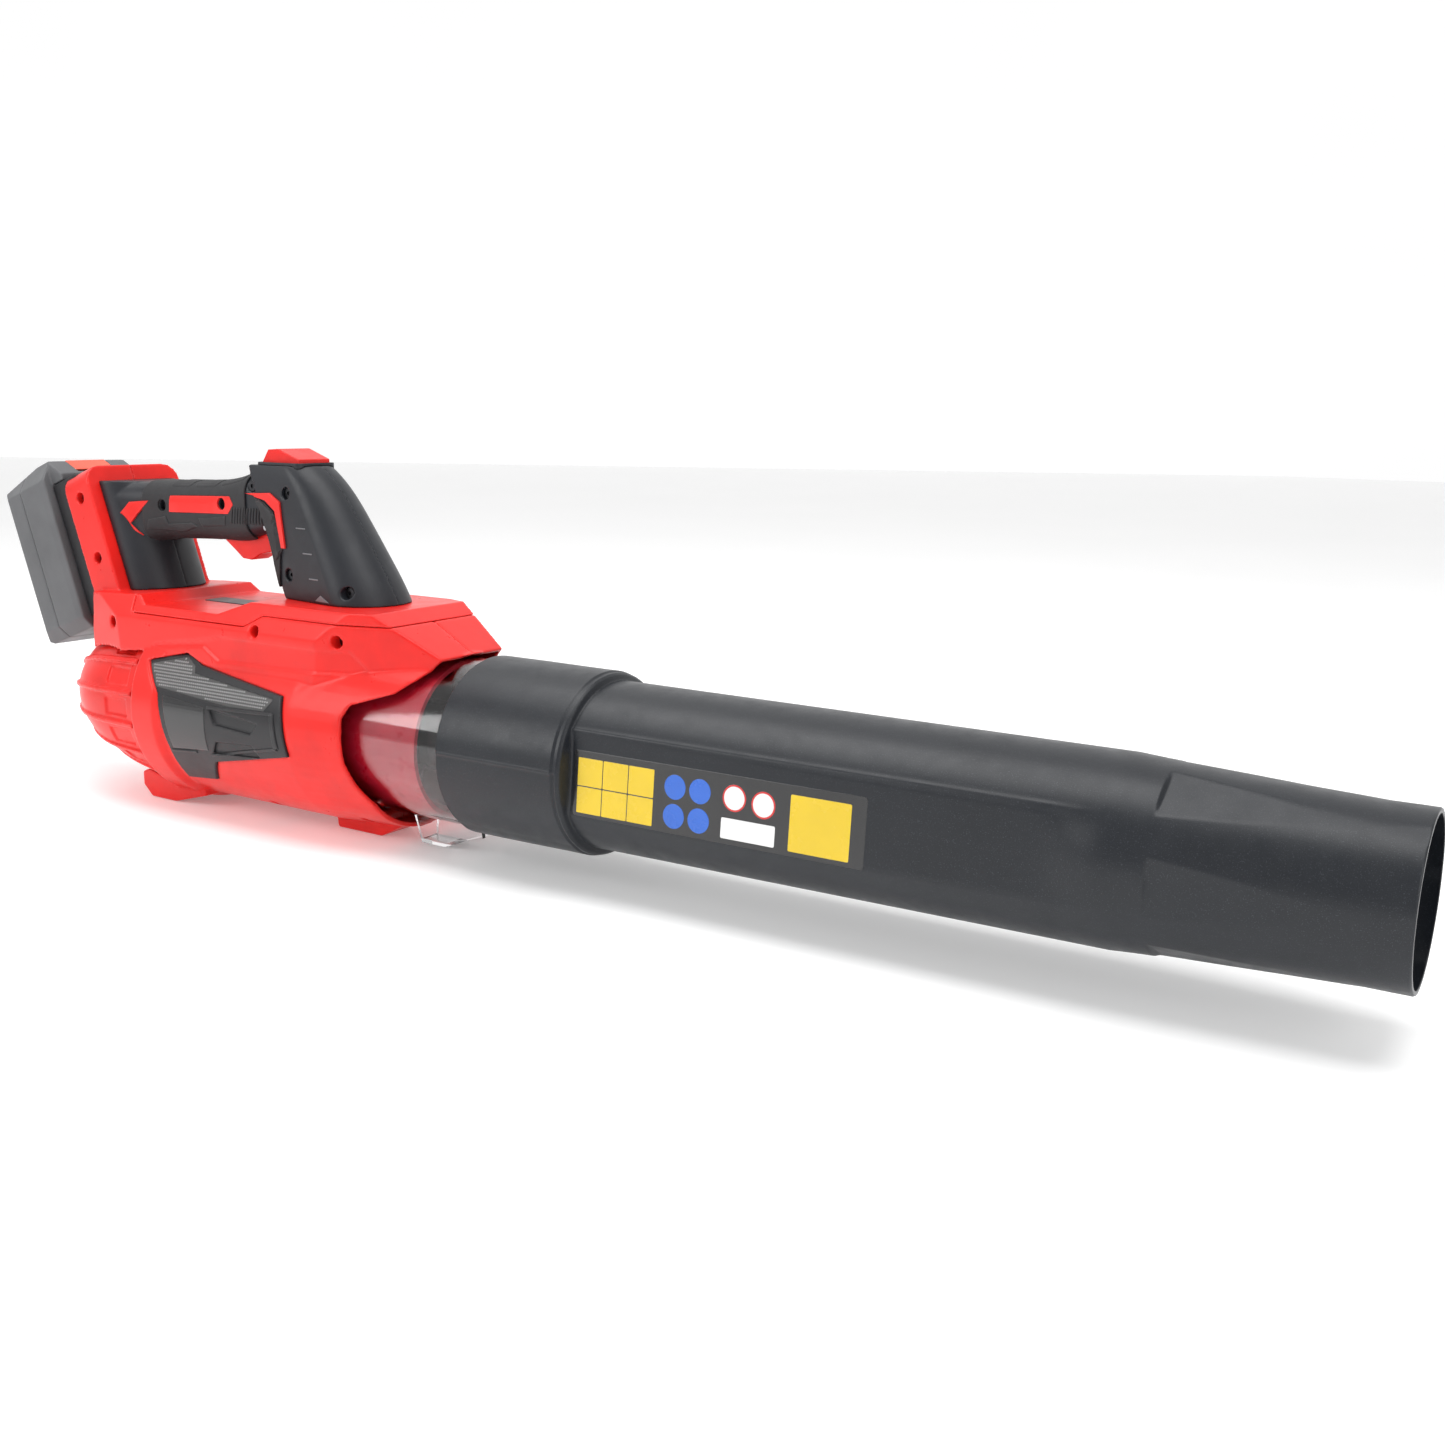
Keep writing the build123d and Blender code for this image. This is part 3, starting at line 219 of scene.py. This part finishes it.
def clear(name, tint, roughness):
    """Clear moulded plastic with faint haze and flow marks."""
    made, shader = new_material(name)
    tree = made.node_tree
    haze = noise(tree, 60, 4)
    base = mixed(tree, remap(tree, haze, 0, 1), scaled(tint, 0.96), tint)
    tree.links.new(base, shader.inputs["Base Color"])
    tree.links.new(remap(tree, haze, roughness * 0.5, roughness * 1.6), shader.inputs["Roughness"])
    shader.inputs["Transmission Weight"].default_value = 1.0
    shader.inputs["IOR"].default_value = 1.45
    bump = tree.nodes.new("ShaderNodeBump")
    bump.inputs["Strength"].default_value = 0.25
    bump.inputs["Distance"].default_value = 0.00008
    tree.links.new(noise(tree, 120, 2), bump.inputs["Height"])
    tree.links.new(bump.outputs["Normal"], shader.inputs["Normal"])
    return made


RED = (0.74, 0.016, 0.012)
CHARCOAL = (0.013, 0.0145, 0.019)

finishes = {
    "red_shell": moulded("red_abs", RED, 0.32, 0.05, 1800, 0.00002, edge=0.2, coat=0.05, shine=0.3),
    "red_trim": moulded("red_trim_abs", RED, 0.34, 0.05, 1800, 0.00002, edge=0.2, coat=0.05, shine=0.3),
    "red_shroud": moulded("crimson_abs", (0.55, 0.006, 0.03), 0.3, 0.05, 1500, 0.00001, coat=0.2),
    "black_handle": moulded("charcoal_nylon", CHARCOAL, 0.42, 0.06, 2400, 0.00004, edge=0.3),
    "black_rubber": moulded("grip_rubber", (0.021, 0.021, 0.023), 0.66, 0.06, 3000, 0.00008, edge=0.3),
    "black_panel": moulded("panel_black", (0.013, 0.013, 0.015), 0.36, 0.06, 2400, 0.00003, edge=0.4),
    "silver_mesh": moulded("mesh_grey", (0.05, 0.05, 0.05), 0.5, 0.05, 2400, 0.00003),
    "black_tube": moulded("tube_polypropylene", (0.010, 0.012, 0.016), 0.36, 0.06, 2200, 0.00008,
                          speckle=(0.028, 0.031, 0.038), edge=0.2, mottle=0.08),
    "label_film": moulded("label_film", (0.012, 0.012, 0.013), 0.22, 0.04, 900, 0.00001, edge=0.1, coat=0.5),
    "clear_duct": clear("clear_polycarbonate", (0.97, 0.955, 0.96), 0.05),
    "black_dock": moulded("dock_black", (0.014, 0.014, 0.016), 0.42, 0.06, 2400, 0.00004, edge=0.4),
    "grey_case": moulded("battery_grey", (0.105, 0.107, 0.112), 0.46, 0.06, 2400, 0.00004, edge=0.3),
    "latch_red": moulded("latch_red", (0.80, 0.11, 0.06), 0.4, 0.05, 1800, 0.00002, edge=0.2),
    "grey_fan": moulded("fan_grey", (0.05, 0.05, 0.055), 0.42, 0.05, 1800, 0.00002),
    "steel": metal("zinc_steel", (0.52, 0.52, 0.54), 0.32),
    "dark_steel": metal("ground_steel", (0.2, 0.2, 0.21), 0.36, (1, 12, 12)),
    "alloy": metal("die_cast_alloy", (0.6, 0.6, 0.62), 0.42),
    "copper": metal("enamelled_copper", (0.72, 0.35, 0.18), 0.28, (12, 1, 1)),
    "cell_blue": moulded("cell_sleeve", (0.04, 0.16, 0.45), 0.3, 0.05, 900, 0.00001),
    "holder_black": moulded("holder_black", (0.025, 0.025, 0.025), 0.55, 0.06, 2400, 0.00004),
    "board_green": moulded("board_green", (0.015, 0.16, 0.05), 0.34, 0.06, 1400, 0.00002),
    "lead_sleeve": moulded("lead_silicone", (0.3, 0.015, 0.015), 0.5, 0.05, 1400, 0.00002),
}

slot_of = {part["node"]: part["material_slot"] for part in frame["record"]["subparts"]}


def paint(piece, made):
    """Give a piece one material."""
    piece.data.materials.clear()
    piece.data.materials.append(made)


for name, node in nodes.items():
    paint(node, finishes[slot_of[name]])

dark_screw = metal("blackened_screw", (0.06, 0.06, 0.065), 0.35)
for name in ("housing_screws", "handle_screws", "frame_screws", "battery_screws"):
    paint(nodes[name], dark_screw)

# ---------------------------------------------------------------- moulded shells with rounded edges


def evaluated_mesh(piece):
    """Mesh with the piece's modifiers applied."""
    graph = bpy.context.evaluated_depsgraph_get()
    return bpy.data.meshes.new_from_object(piece.evaluated_get(graph), depsgraph=graph)


def soften(node_name, voxel, rounds):
    """Stand-in for a CAD node whose corners and blends are rounded as moulding rounds them."""
    source = nodes[node_name]
    piece = bpy.data.objects.new(node_name + "_moulded", source.data.copy())
    bpy.context.scene.collection.objects.link(piece)
    remesh = piece.modifiers.new("remesh", "REMESH")
    remesh.mode = "VOXEL"
    remesh.voxel_size = voxel * MM
    smooth = piece.modifiers.new("smooth", "SMOOTH")
    smooth.factor = 0.5
    smooth.iterations = rounds
    bpy.context.view_layer.update()
    mesh = evaluated_mesh(piece)
    piece.modifiers.clear()
    piece.data = mesh
    for polygon in mesh.polygons:
        polygon.use_smooth = True
    mesh.materials.clear()
    mesh.materials.append(finishes[slot_of[node_name]])
    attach(piece, source["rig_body"])
    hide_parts(node_name)
    return piece


SOFTENED = {
    "housing_right": (0.9, 4),
    "housing_left": (0.9, 4),
    "top_cover": (0.8, 4),
    "intake_grille": (0.7, 3),
    "handle_right": (0.7, 4),
    "handle_left": (0.7, 4),
    "grip_rubber_right": (0.45, 2),
    "grip_rubber_left": (0.45, 2),
    "battery_dock": (0.7, 3),
    "battery_case_front": (0.7, 3),
    "battery_case_rear": (0.7, 3),
    "battery_latch": (0.5, 3),
    "boost_button": (0.4, 3),
    "button_bezel": (0.4, 3),
    "trigger": (0.45, 3),
    "side_panel_right": (0.5, 2),
    "side_panel_left": (0.5, 2),
}
for node_name, (voxel, rounds) in SOFTENED.items():
    soften(node_name, voxel, rounds)

# ---------------------------------------------------------------- tube with soft ridges and scoops

COLLAR_BACK, COLLAR_FRONT = -43.0, 42.0
TAPER_X, SPIGOT_X, MOUTH_X = 332.0, 435.0, 455.0
COLLAR_R, REAR_R, FRONT_R, MOUTH_R = 52.0, 46.8, 45.4, 39.3
WALL = 2.0
FLAT_ANGLE, FLAT_R = 85.0, 40.9             # flats on both sides, from +Z towards each side
SCOOP_START, SCOOP_R, SCOOP_SLOPE = 350.0, 41.8, 0.027
SCOOP_ANGLES = [33 + 60 * turn for turn in range(6)]


def step(value, low, high):
    """0 below low, 1 above high, smooth between."""
    share = min(1.0, max(0.0, (value - low) / (high - low)))
    return share * share * (3 - 2 * share)


def soft_min(first, second, blend):
    """Smaller of two numbers, rounded where they cross."""
    share = max(blend - abs(first - second), 0.0) / blend
    return min(first, second) - share * share * blend / 4


def plain_radius(x):
    """Tube's outer radius before flats and scoops."""
    if x < COLLAR_FRONT:
        lip = 1.2 * (1 - step(x, COLLAR_BACK, COLLAR_BACK + 1.2))
        groove = 0.9 * step(x, COLLAR_FRONT - 4.4, COLLAR_FRONT - 3.0)
        nose = 0.8 * step(x, COLLAR_FRONT - 1.0, COLLAR_FRONT)
        return COLLAR_R - 0.3 * step(x, -20, 30) - lip - (groove + nose)
    if x < TAPER_X:
        rear = 3.2 * (1 - step(x, COLLAR_FRONT, COLLAR_FRONT + 1.6))
        return REAR_R + (FRONT_R - REAR_R) * (x - COLLAR_FRONT) / (TAPER_X - COLLAR_FRONT) + rear
    narrowed = step(x, TAPER_X - 12, TAPER_X + 12) * 0.4
    if x < SPIGOT_X:
        cone = FRONT_R + (MOUTH_R - FRONT_R) * (x - TAPER_X) / (SPIGOT_X - TAPER_X)
        return cone - narrowed * (1 - step(x, 400, SPIGOT_X))
    return MOUTH_R - 0.4 * step(x, MOUTH_X - 0.8, MOUTH_X)


def away(angle, centre):
    """Angle between two directions round the tube, in degrees."""
    return abs((angle - centre + 180) % 360 - 180)


def tube_radius(x, angle):
    """Tube's outer radius at x and at an angle from +Z towards the right-hand side."""
    radius = plain_radius(x)
    for centre in (FLAT_ANGLE, -FLAT_ANGLE):
        apart = away(angle, centre)
        if COLLAR_FRONT < x < TAPER_X and apart < 60:
            chord = FLAT_R / math.cos(math.radians(apart))
            cut = soft_min(radius, chord, 0.9)
            ends = step(x, COLLAR_FRONT + 0.5, COLLAR_FRONT + 2.5) * (1 - step(x, TAPER_X - 34, TAPER_X - 2))
            radius += (cut - radius) * ends
            if angle * centre > 0 and abs(angle) < abs(centre):
                radius += 0.35 * math.exp(-((apart - 30) / 1.6) ** 2) * ends
        if x < COLLAR_FRONT - 2:
            ridge = math.exp(-((away(angle, centre) - 0.5) / 0.55) ** 2)
            radius += 0.45 * ridge * (1 - step(x, COLLAR_FRONT - 4, COLLAR_FRONT - 2))
            if abs(centre) < abs(angle) < 150:
                radius -= 0.3 * (1 - step(abs(angle), 140, 150))
    if x > SCOOP_START - 2:
        depth = step(x, SCOOP_START - 1.2, SCOOP_START + 1.2)
        for centre in SCOOP_ANGLES:
            apart = away(angle, centre)
            if apart < 25:
                floor_r = (SCOOP_R - SCOOP_SLOPE * (x - SCOOP_START)) / math.cos(math.radians(apart))
                radius += (soft_min(radius, floor_r, 0.25) - radius) * depth
    return radius


def spread(start, stop, pitch):
    """Evenly spaced numbers from start up to stop."""
    count = max(1, round((stop - start) / pitch))
    return [start + (stop - start) * index / count for index in range(count)]


def ring_surface(name, rings):
    """Closed surface through rings of points, the last ring joined to the first."""
    mesh = bpy.data.meshes.new(name)
    size = len(rings[0])
    points = [point for ring in rings for point in ring]
    faces = []
    for row in range(len(rings)):
        after = (row + 1) % len(rings)
        for column in range(size):
            beside = (column + 1) % size
            faces.append((
                row * size + column, row * size + beside,
                after * size + beside, after * size + column,
            ))
    mesh.from_pydata(points, [], faces)
    for polygon in mesh.polygons:
        polygon.use_smooth = True
    piece = bpy.data.objects.new(name, mesh)
    bpy.context.scene.collection.objects.link(piece)
    return piece


def tube_ring(x, radius_at, columns=480):
    """Ring of points round the air axis."""
    ring = []
    for column in range(columns):
        angle = -180 + 360 * column / columns
        radius = radius_at(x, angle)
        across = math.radians(angle)
        ring.append((x * MM, -radius * math.sin(across) * MM, AXIS_Z + radius * math.cos(across) * MM))
    return ring


def inner_radius(x, angle):
    """Tube's inner radius."""
    if x < 29:
        return 49.7
    return min(tube_radius(max(x, COLLAR_FRONT + 6), angle), 49.7 + WALL) - WALL


outer_x = (
    spread(COLLAR_BACK, COLLAR_BACK + 1.5, 0.3) + spread(COLLAR_BACK + 1.5, 36, 4) + spread(36, 48, 0.35)
    + spread(48, 296, 6) + spread(296, SCOOP_START - 3, 3) + spread(SCOOP_START - 3, SCOOP_START + 3, 0.4)
    + spread(SCOOP_START + 3, MOUTH_X - 1.5, 2.5) + spread(MOUTH_X - 1.5, MOUTH_X, 0.3) + [MOUTH_X]
)
inner_x = [MOUTH_X, MOUTH_X - 0.4] + [
    x for x in reversed(spread(COLLAR_BACK, MOUTH_X - 4, 5)) if not 27 < x < 33
] + [COLLAR_BACK]
tube = ring_surface(
    "blower_tube_moulded",
    [tube_ring(x, tube_radius) for x in outer_x] + [tube_ring(x, inner_radius) for x in inner_x],
)
paint(tube, finishes["black_tube"])
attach(tube, "tube")
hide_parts("blower_tube")

# ---------------------------------------------------------------- flat shapes laid on a surface


def densified(outline, pitch):
    """Outline with points added so that none are further apart than pitch."""
    points = []
    for index, first in enumerate(outline):
        second = outline[(index + 1) % len(outline)]
        length = math.dist(first, second)
        count = max(1, math.ceil(length / pitch))
        for part in range(count):
            share = part / count
            points.append((
                first[0] + (second[0] - first[0]) * share,
                first[1] + (second[1] - first[1]) * share,
            ))
    return points


def inset(outline, distance):
    """Outline moved inwards, each corner on its mitre."""
    area = sum(a[0] * b[1] - b[0] * a[1] for a, b in zip(outline, outline[1:] + outline[:1]))
    side = 1 if area > 0 else -1
    moved = []
    for index, point in enumerate(outline):
        before, after = outline[index - 1], outline[(index + 1) % len(outline)]
        first = Vector((point[0] - before[0], point[1] - before[1])).normalized()
        second = Vector((after[0] - point[0], after[1] - point[1])).normalized()
        first_in, second_in = Vector((-first.y, first.x)) * side, Vector((-second.y, second.x)) * side
        mitre = (first_in + second_in).normalized()
        reach = distance / max(0.45, mitre.dot(first_in))
        moved.append((point[0] + mitre.x * reach, point[1] + mitre.y * reach))
    return moved


def within(point, outline):
    """True if a point is inside an outline."""
    inside = False
    for index, first in enumerate(outline):
        second = outline[(index + 1) % len(outline)]
        if (first[1] > point[1]) != (second[1] > point[1]):
            crossing = first[0] + (point[1] - first[1]) * (second[0] - first[0]) / (second[1] - first[1])
            if point[0] < crossing:
                inside = not inside
    return inside


def rounded(x0, x1, z0, z1, radius, corners=5):
    """Outline of a rectangle with rounded corners."""
    outline = []
    for centre_x, centre_z, start in (
        (x1 - radius, z1 - radius, 0), (x0 + radius, z1 - radius, 90),
        (x0 + radius, z0 + radius, 180), (x1 - radius, z0 + radius, 270),
    ):
        for part in range(corners + 1):
            angle = math.radians(start + 90 * part / corners)
            outline.append((centre_x + radius * math.cos(angle), centre_z + radius * math.sin(angle)))
    return outline


def disc(x, z, radius, sides=32):
    """Outline of a circle."""
    return [
        (x + radius * math.cos(math.tau * part / sides), z + radius * math.sin(math.tau * part / sides))
        for part in range(sides)
    ]


def relief(name, outlines, place, lift, body, made, edge=0.5, pitch=2.0, sunk=0.25):
    """Shallow raised pads with bevelled edges; place(u, v, lift) puts a point on the surface."""
    points, faces = [], []
    for outline in outlines:
        outer = densified(outline, pitch)
        inner = densified_like(outline, edge, pitch)
        count = len(outer)
        start = len(points)
        rows = [[place(u, v, -sunk) for u, v in outer], [place(u, v, lift * 0.45) for u, v in outer],
                [place(u, v, lift) for u, v in inner]]
        if any(point is None for row in rows for point in row):
            continue
        for row in rows:
            points.extend(row)
        for level in range(2):
            for index in range(count):
                beside = (index + 1) % count
                faces.append((start + level * count + index, start + level * count + beside,
                              start + (level + 1) * count + beside, start + (level + 1) * count + index))
        fill(points, faces, inner, start + 2 * count, place, lift, pitch)
    if not points:
        return None
    mesh = bpy.data.meshes.new(name)
    mesh.from_pydata([tuple(coordinate * MM for coordinate in point) for point in points], [], faces)
    tidy = bmesh.new()
    tidy.from_mesh(mesh)
    bmesh.ops.recalc_face_normals(tidy, faces=tidy.faces)
    tidy.to_mesh(mesh)
    tidy.free()
    piece = bpy.data.objects.new(name, mesh)
    bpy.context.scene.collection.objects.link(piece)
    paint(piece, made)
    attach(piece, body)
    return piece


def densified_like(outline, edge, pitch):
    """Inset outline with the same number of points as the densified outline."""
    moved = inset(outline, edge)
    points = []
    for index, first in enumerate(outline):
        second = outline[(index + 1) % len(outline)]
        count = max(1, math.ceil(math.dist(first, second) / pitch))
        start, stop = moved[index], moved[(index + 1) % len(moved)]
        for part in range(count):
            share = part / count
            points.append((start[0] + (stop[0] - start[0]) * share, start[1] + (stop[1] - start[1]) * share))
    return points


def fill(points, faces, outline, start, place, lift, pitch):
    """Cover the inside of an outline with triangles that follow the surface."""
    low_u, high_u = min(u for u, _ in outline), max(u for u, _ in outline)
    low_v, high_v = min(v for _, v in outline), max(v for _, v in outline)
    shrunk = inset(outline, pitch * 0.35)
    inside = [
        (u, v)
        for u in spread(low_u, high_u, pitch)
        for v in spread(low_v, high_v, pitch)
        if within((u, v), shrunk) and within((u, v), outline)
    ]
    count = len(outline)
    flat = [Vector(point) for point in outline + inside]
    loops = [(index, (index + 1) % count) for index in range(count)]
    found = geometry.delaunay_2d_cdt(flat, loops, [], 1, 1e-5)
    numbers = {}
    for index, sources in enumerate(found[3]):
        if sources and sources[0] < count:
            numbers[index] = start + sources[0]
        else:
            put = place(found[0][index][0], found[0][index][1], lift)
            if put is None:
                put = points[start]
            numbers[index] = len(points)
            points.append(put)
    for face in found[2]:
        faces.append(tuple(numbers[index] for index in face))


# ---------------------------------------------------------------- tube's label: plain colour shapes

flat_out = Vector((0, -math.sin(math.radians(FLAT_ANGLE)), math.cos(math.radians(FLAT_ANGLE))))
flat_up = Vector((0, math.cos(math.radians(FLAT_ANGLE)), math.sin(math.radians(FLAT_ANGLE))))


def on_flat(base):
    """Places points on the tube's right-hand flat, base above it."""
    def place(x, height, lift):
        point = Vector((0, 0, AXIS_Z / MM)) + flat_out * (FLAT_R + base + lift) + flat_up * height
        return (x, point.y, point.z)
    return place


def printed(name, colour, roughness=0.26, mottle=0.05):
    """Glossy printing ink on the label."""
    return moulded(name, colour, roughness, 0.04, 900, 0.00001, edge=0, coat=0.4, mottle=mottle)


print_yellow = printed("label_yellow", (0.72, 0.50, 0.01))
print_blue = printed("label_blue", (0.02, 0.12, 0.55))
print_white = printed("label_white", (0.78, 0.78, 0.78), 0.28, 0.04)
print_red = printed("label_ring_red", (0.6, 0.02, 0.02), 0.28)

LABEL = (46, 218, -22, 13)                  # rear end, front end, lower edge, upper edge
FILM_LIFT = 0.12                            # film's thickness above the flat
INK_LIFT = 0.06
CELL_PITCH = 16.3
RING_CENTRES = ((145.3, 1.6), (162, 0.6))


def label_shapes(name, outlines, base, lift, made, pitch):
    """Flat shapes printed on the label, base above the tube's flat."""
    return relief(name, outlines, on_flat(base), lift, "tube", made, 0.1, pitch, 0.02)


film = relief(
    "label_film_sheet", [rounded(*LABEL, 1.5)], on_flat(0.0), FILM_LIFT, "tube",
    finishes["label_film"], 0.15, 6,
)
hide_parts("tube_label")
cells = [
    rounded(48.6 + CELL_PITCH * column, 64.4 + CELL_PITCH * column, low, high, 0.5)
    for column in range(3) for low, high in ((-20.2, -6.2), (-5.6, 9.2))
]
label_shapes("label_cells", cells, FILM_LIFT, INK_LIFT, print_yellow, 6)
label_shapes("label_block", [rounded(177, 210, -19.6, 8.4, 0.8)], FILM_LIFT, INK_LIFT, print_yellow, 6)
discs = [disc(x, height, 6.4) for x in (110, 125) for height in (2, -13)]
label_shapes("label_discs", discs, FILM_LIFT, INK_LIFT, print_blue, 3)
rings = [disc(*centre, 6.8) for centre in RING_CENTRES]
label_shapes("label_rings", rings, FILM_LIFT, INK_LIFT, print_red, 3)
middles = [disc(*centre, 5.9) for centre in RING_CENTRES]
label_shapes("label_ring_middles", middles, FILM_LIFT + INK_LIFT, 0.05, print_white, 3)
label_shapes("label_card", [rounded(138.4, 169.3, -19.3, -8.8, 0.8)], FILM_LIFT, INK_LIFT, print_white, 6)

# ---------------------------------------------------------------- reliefs on the handle and the housing


def skin(names):
    """Search trees of the shown pieces, to find where a line meets them."""
    trees = []
    for name in names:
        piece = bpy.data.objects[name]
        trees.append(bvhtree.BVHTree.FromPolygons(
            [vertex.co.copy() for vertex in piece.data.vertices],
            [tuple(polygon.vertices) for polygon in piece.data.polygons],
        ))
    return trees


def nearest_hit(trees, origin, direction):
    """First point where a line meets any of the trees."""
    best = None
    for tree in trees:
        hit, _, _, distance = tree.ray_cast(origin, direction)
        if hit is not None and (best is None or distance < best[1]):
            best = (hit, distance)
    return best[0] if best else None


def from_side(side, trees):
    """Places (x, z) points on what is seen from the right (-1) or the left (+1)."""
    def place(x, z, lift):
        hit = nearest_hit(trees, Vector((x * MM, side * 0.2, z * MM)), Vector((0, -side, 0)))
        return None if hit is None else (x, hit.y / MM + side * lift, z)
    return place


def from_above(trees):
    """Places (x, y) points on what is seen from above."""
    def place(x, y, lift):
        hit = nearest_hit(trees, Vector((x * MM, y * MM, 0.3)), Vector((0, 0, -1)))
        return None if hit is None else (x, y, hit.z / MM + lift)
    return place


mark_grey = moulded("mark_grey", (0.16, 0.165, 0.175), 0.45, 0.05, 2400, 0.00002, edge=0)
GRIP_PADS = [
    [(-319, 176.5), (-316.5, 183), (-300.5, 186), (-298, 181), (-276, 183), (-271, 180.5), (-286, 176)],
    [(-269, 186), (-243, 188.5), (-244, 182.5), (-266.5, 180.5)],
]
POST_PAD = [
    (-219.5, 201.5), (-213, 193.6), (-210.5, 187), (-204, 181), (-197.6, 164.5), (-195.6, 165.5),
    (-190.2, 173.5), (-198, 192), (-211.5, 200.5),
]
RIBS = [[(x, 184.3), (x + 1.2, 184.4), (x + 2.6, 194.4), (x + 1.4, 194.3)] for x in spread(-238.5, -213, 2.3)]
TICKS = [
    [(x, z), (x + 9, z), (x + 9.2, z + 0.8), (x + 0.2, z + 0.8)]
    for x, z in ((-178, 184.5), (-171.7, 169.8), (-166, 155))
]
TRIANGLE = [(-160.7, 142.6), (-146.5, 142.6), (-155, 146.4)]
TOP_PADS = [(-300, -281), (-277, -256), (-252.5, -230)]

SIDES = (("right", -1), ("left", 1))


def rubber_pads(name, outlines, place, lift, edge):
    """Raised rubber pads on the handle."""
    relief(name, outlines, place, lift, "frame", finishes["black_rubber"], edge)


for side_name, side in SIDES:
    handle_skin = skin([f"handle_{side_name}_moulded", f"grip_rubber_{side_name}_moulded"])
    on_handle = from_side(side, handle_skin)
    rubber_pads(f"grip_pads_{side_name}", GRIP_PADS, on_handle, 0.7, 0.7)
    rubber_pads(f"post_pad_{side_name}", [POST_PAD], on_handle, 1.1, 0.9)
    rubber_pads(f"grip_ribs_{side_name}", RIBS, on_handle, 0.7, 0.35)
    relief(
        f"post_marks_{side_name}", TICKS + [TRIANGLE], on_handle, 0.25, "frame",
        mark_grey, 0.15,
    )

top_skin = skin([
    f"{part}_{side_name}_moulded"
    for part in ("handle", "grip_rubber") for side_name, _ in SIDES
])
top_pads = [rounded(x0, x1, -14, 14, 2.5) for x0, x1 in TOP_PADS]
rubber_pads("grip_top_pads", top_pads, from_above(top_skin), 0.6, 0.7)

# Plate in the rear half of each side panel, and bevelled bars round the slots.
PLATE = [(-260, 80), (-220.5, 76.6), (-220.5, 49.5), (-254.5, 46.5)]
PANEL_BARS = [
    [(-218.5, 77.6), (-162, 80), (-160.5, 78.2), (-218.5, 75.8)],
    [(-164, 79.5), (-160.5, 79.5), (-156.5, 59), (-160.5, 58.4)],
    [(-160.5, 59.5), (-157, 58), (-218, 45.4), (-218.5, 47.6)],
    [(-256.5, 45.6), (-232, 47.8), (-232, 46.2), (-256.8, 43.8)],
]
for side_name, side in SIDES:
    on_panel = from_side(side, skin([f"side_panel_{side_name}_moulded"]))
    relief(
        f"panel_plate_{side_name}", [PLATE], on_panel, 0.35, "frame",
        finishes["label_film"], 0.5,
    )
    relief(
        f"panel_bars_{side_name}", PANEL_BARS, on_panel, 0.8, "frame",
        finishes["black_panel"], 0.5,
    )

# Dots of the side mesh, raised from its face.
MESH_BAND = [
    (-276, 96.5), (-248.5, 102.3), (-240, 98.6), (-237.5, 94.4),
    (-165.5, 86.9), (-171.5, 81), (-200, 80.2), (-266, 84.8),
]
DOT_PITCH = 1.9
DOT_R = 0.62
mesh_dot = moulded("mesh_dot", (0.30, 0.30, 0.30), 0.42, 0.05, 2400, 0.00002, edge=0)
for side_name, side in SIDES:
    mesh_skin = skin([f"side_mesh_{side_name}"])
    dots = []
    for row, z in enumerate(spread(78, 104, DOT_PITCH)):
        for x in spread(-280 + DOT_PITCH / 2 * (row % 2), -160, DOT_PITCH):
            if within((x, z), MESH_BAND):
                dots.append(disc(x, z, DOT_R, 6))
    relief(
        f"mesh_dots_{side_name}", dots, from_side(side, mesh_skin), 0.3, "frame",
        mesh_dot, 0.2, 3, 0.1,
    )

# ---------------------------------------------------------------- floor

floor_mesh = bpy.data.meshes.new("floor")
grid = bmesh.new()
bmesh.ops.create_grid(grid, x_segments=4, y_segments=4, size=6.0)
grid.to_mesh(floor_mesh)
grid.free()
floor = bpy.data.objects.new("floor", floor_mesh)
bpy.context.scene.collection.objects.link(floor)
floor.location.z = -0.0004
floor_material, floor_shader = new_material("pale_floor")
floor_tree = floor_material.node_tree
floor_shade = remap(floor_tree, noise(floor_tree, 3, 2), 0, 1)
floor_colour = mixed(floor_tree, floor_shade, (0.93, 0.93, 0.93), (0.95, 0.95, 0.95))
floor_tree.links.new(floor_colour, floor_shader.inputs["Base Color"])
floor_shader.inputs["Emission Color"].default_value = (1, 1, 1, 1)
floor_shader.inputs["Emission Strength"].default_value = 0.16
floor_shader.inputs["Roughness"].default_value = 0.9
floor_shader.inputs["Specular IOR Level"].default_value = 0.1
paint(floor, floor_material)

# Bright paper backdrop behind the blower.
backdrop_mesh = bpy.data.meshes.new("backdrop")
grid = bmesh.new()
bmesh.ops.create_grid(grid, x_segments=2, y_segments=2, size=12.0)
grid.to_mesh(backdrop_mesh)
grid.free()
backdrop = bpy.data.objects.new("backdrop", backdrop_mesh)
bpy.context.scene.collection.objects.link(backdrop)
level_forward = Vector((forward.x, forward.y, 0)).normalized()
backdrop.location = CAMERA_PLACE + level_forward * 6.4
backdrop.rotation_euler = level_forward.to_track_quat("Z", "Y").to_euler()
backdrop_material, backdrop_shader = new_material("backdrop_paper")
backdrop_tree = backdrop_material.node_tree
backdrop_shade = remap(backdrop_tree, noise(backdrop_tree, 1, 2), 0, 1)
backdrop_colour = mixed(backdrop_tree, backdrop_shade, (0.99, 0.99, 0.99), (1.0, 1.0, 1.0))
backdrop_tree.links.new(backdrop_colour, backdrop_shader.inputs["Emission Color"])
backdrop_shader.inputs["Emission Strength"].default_value = 0.95
backdrop_shader.inputs["Base Color"].default_value = (0.05, 0.05, 0.05, 1)
paint(backdrop, backdrop_material)
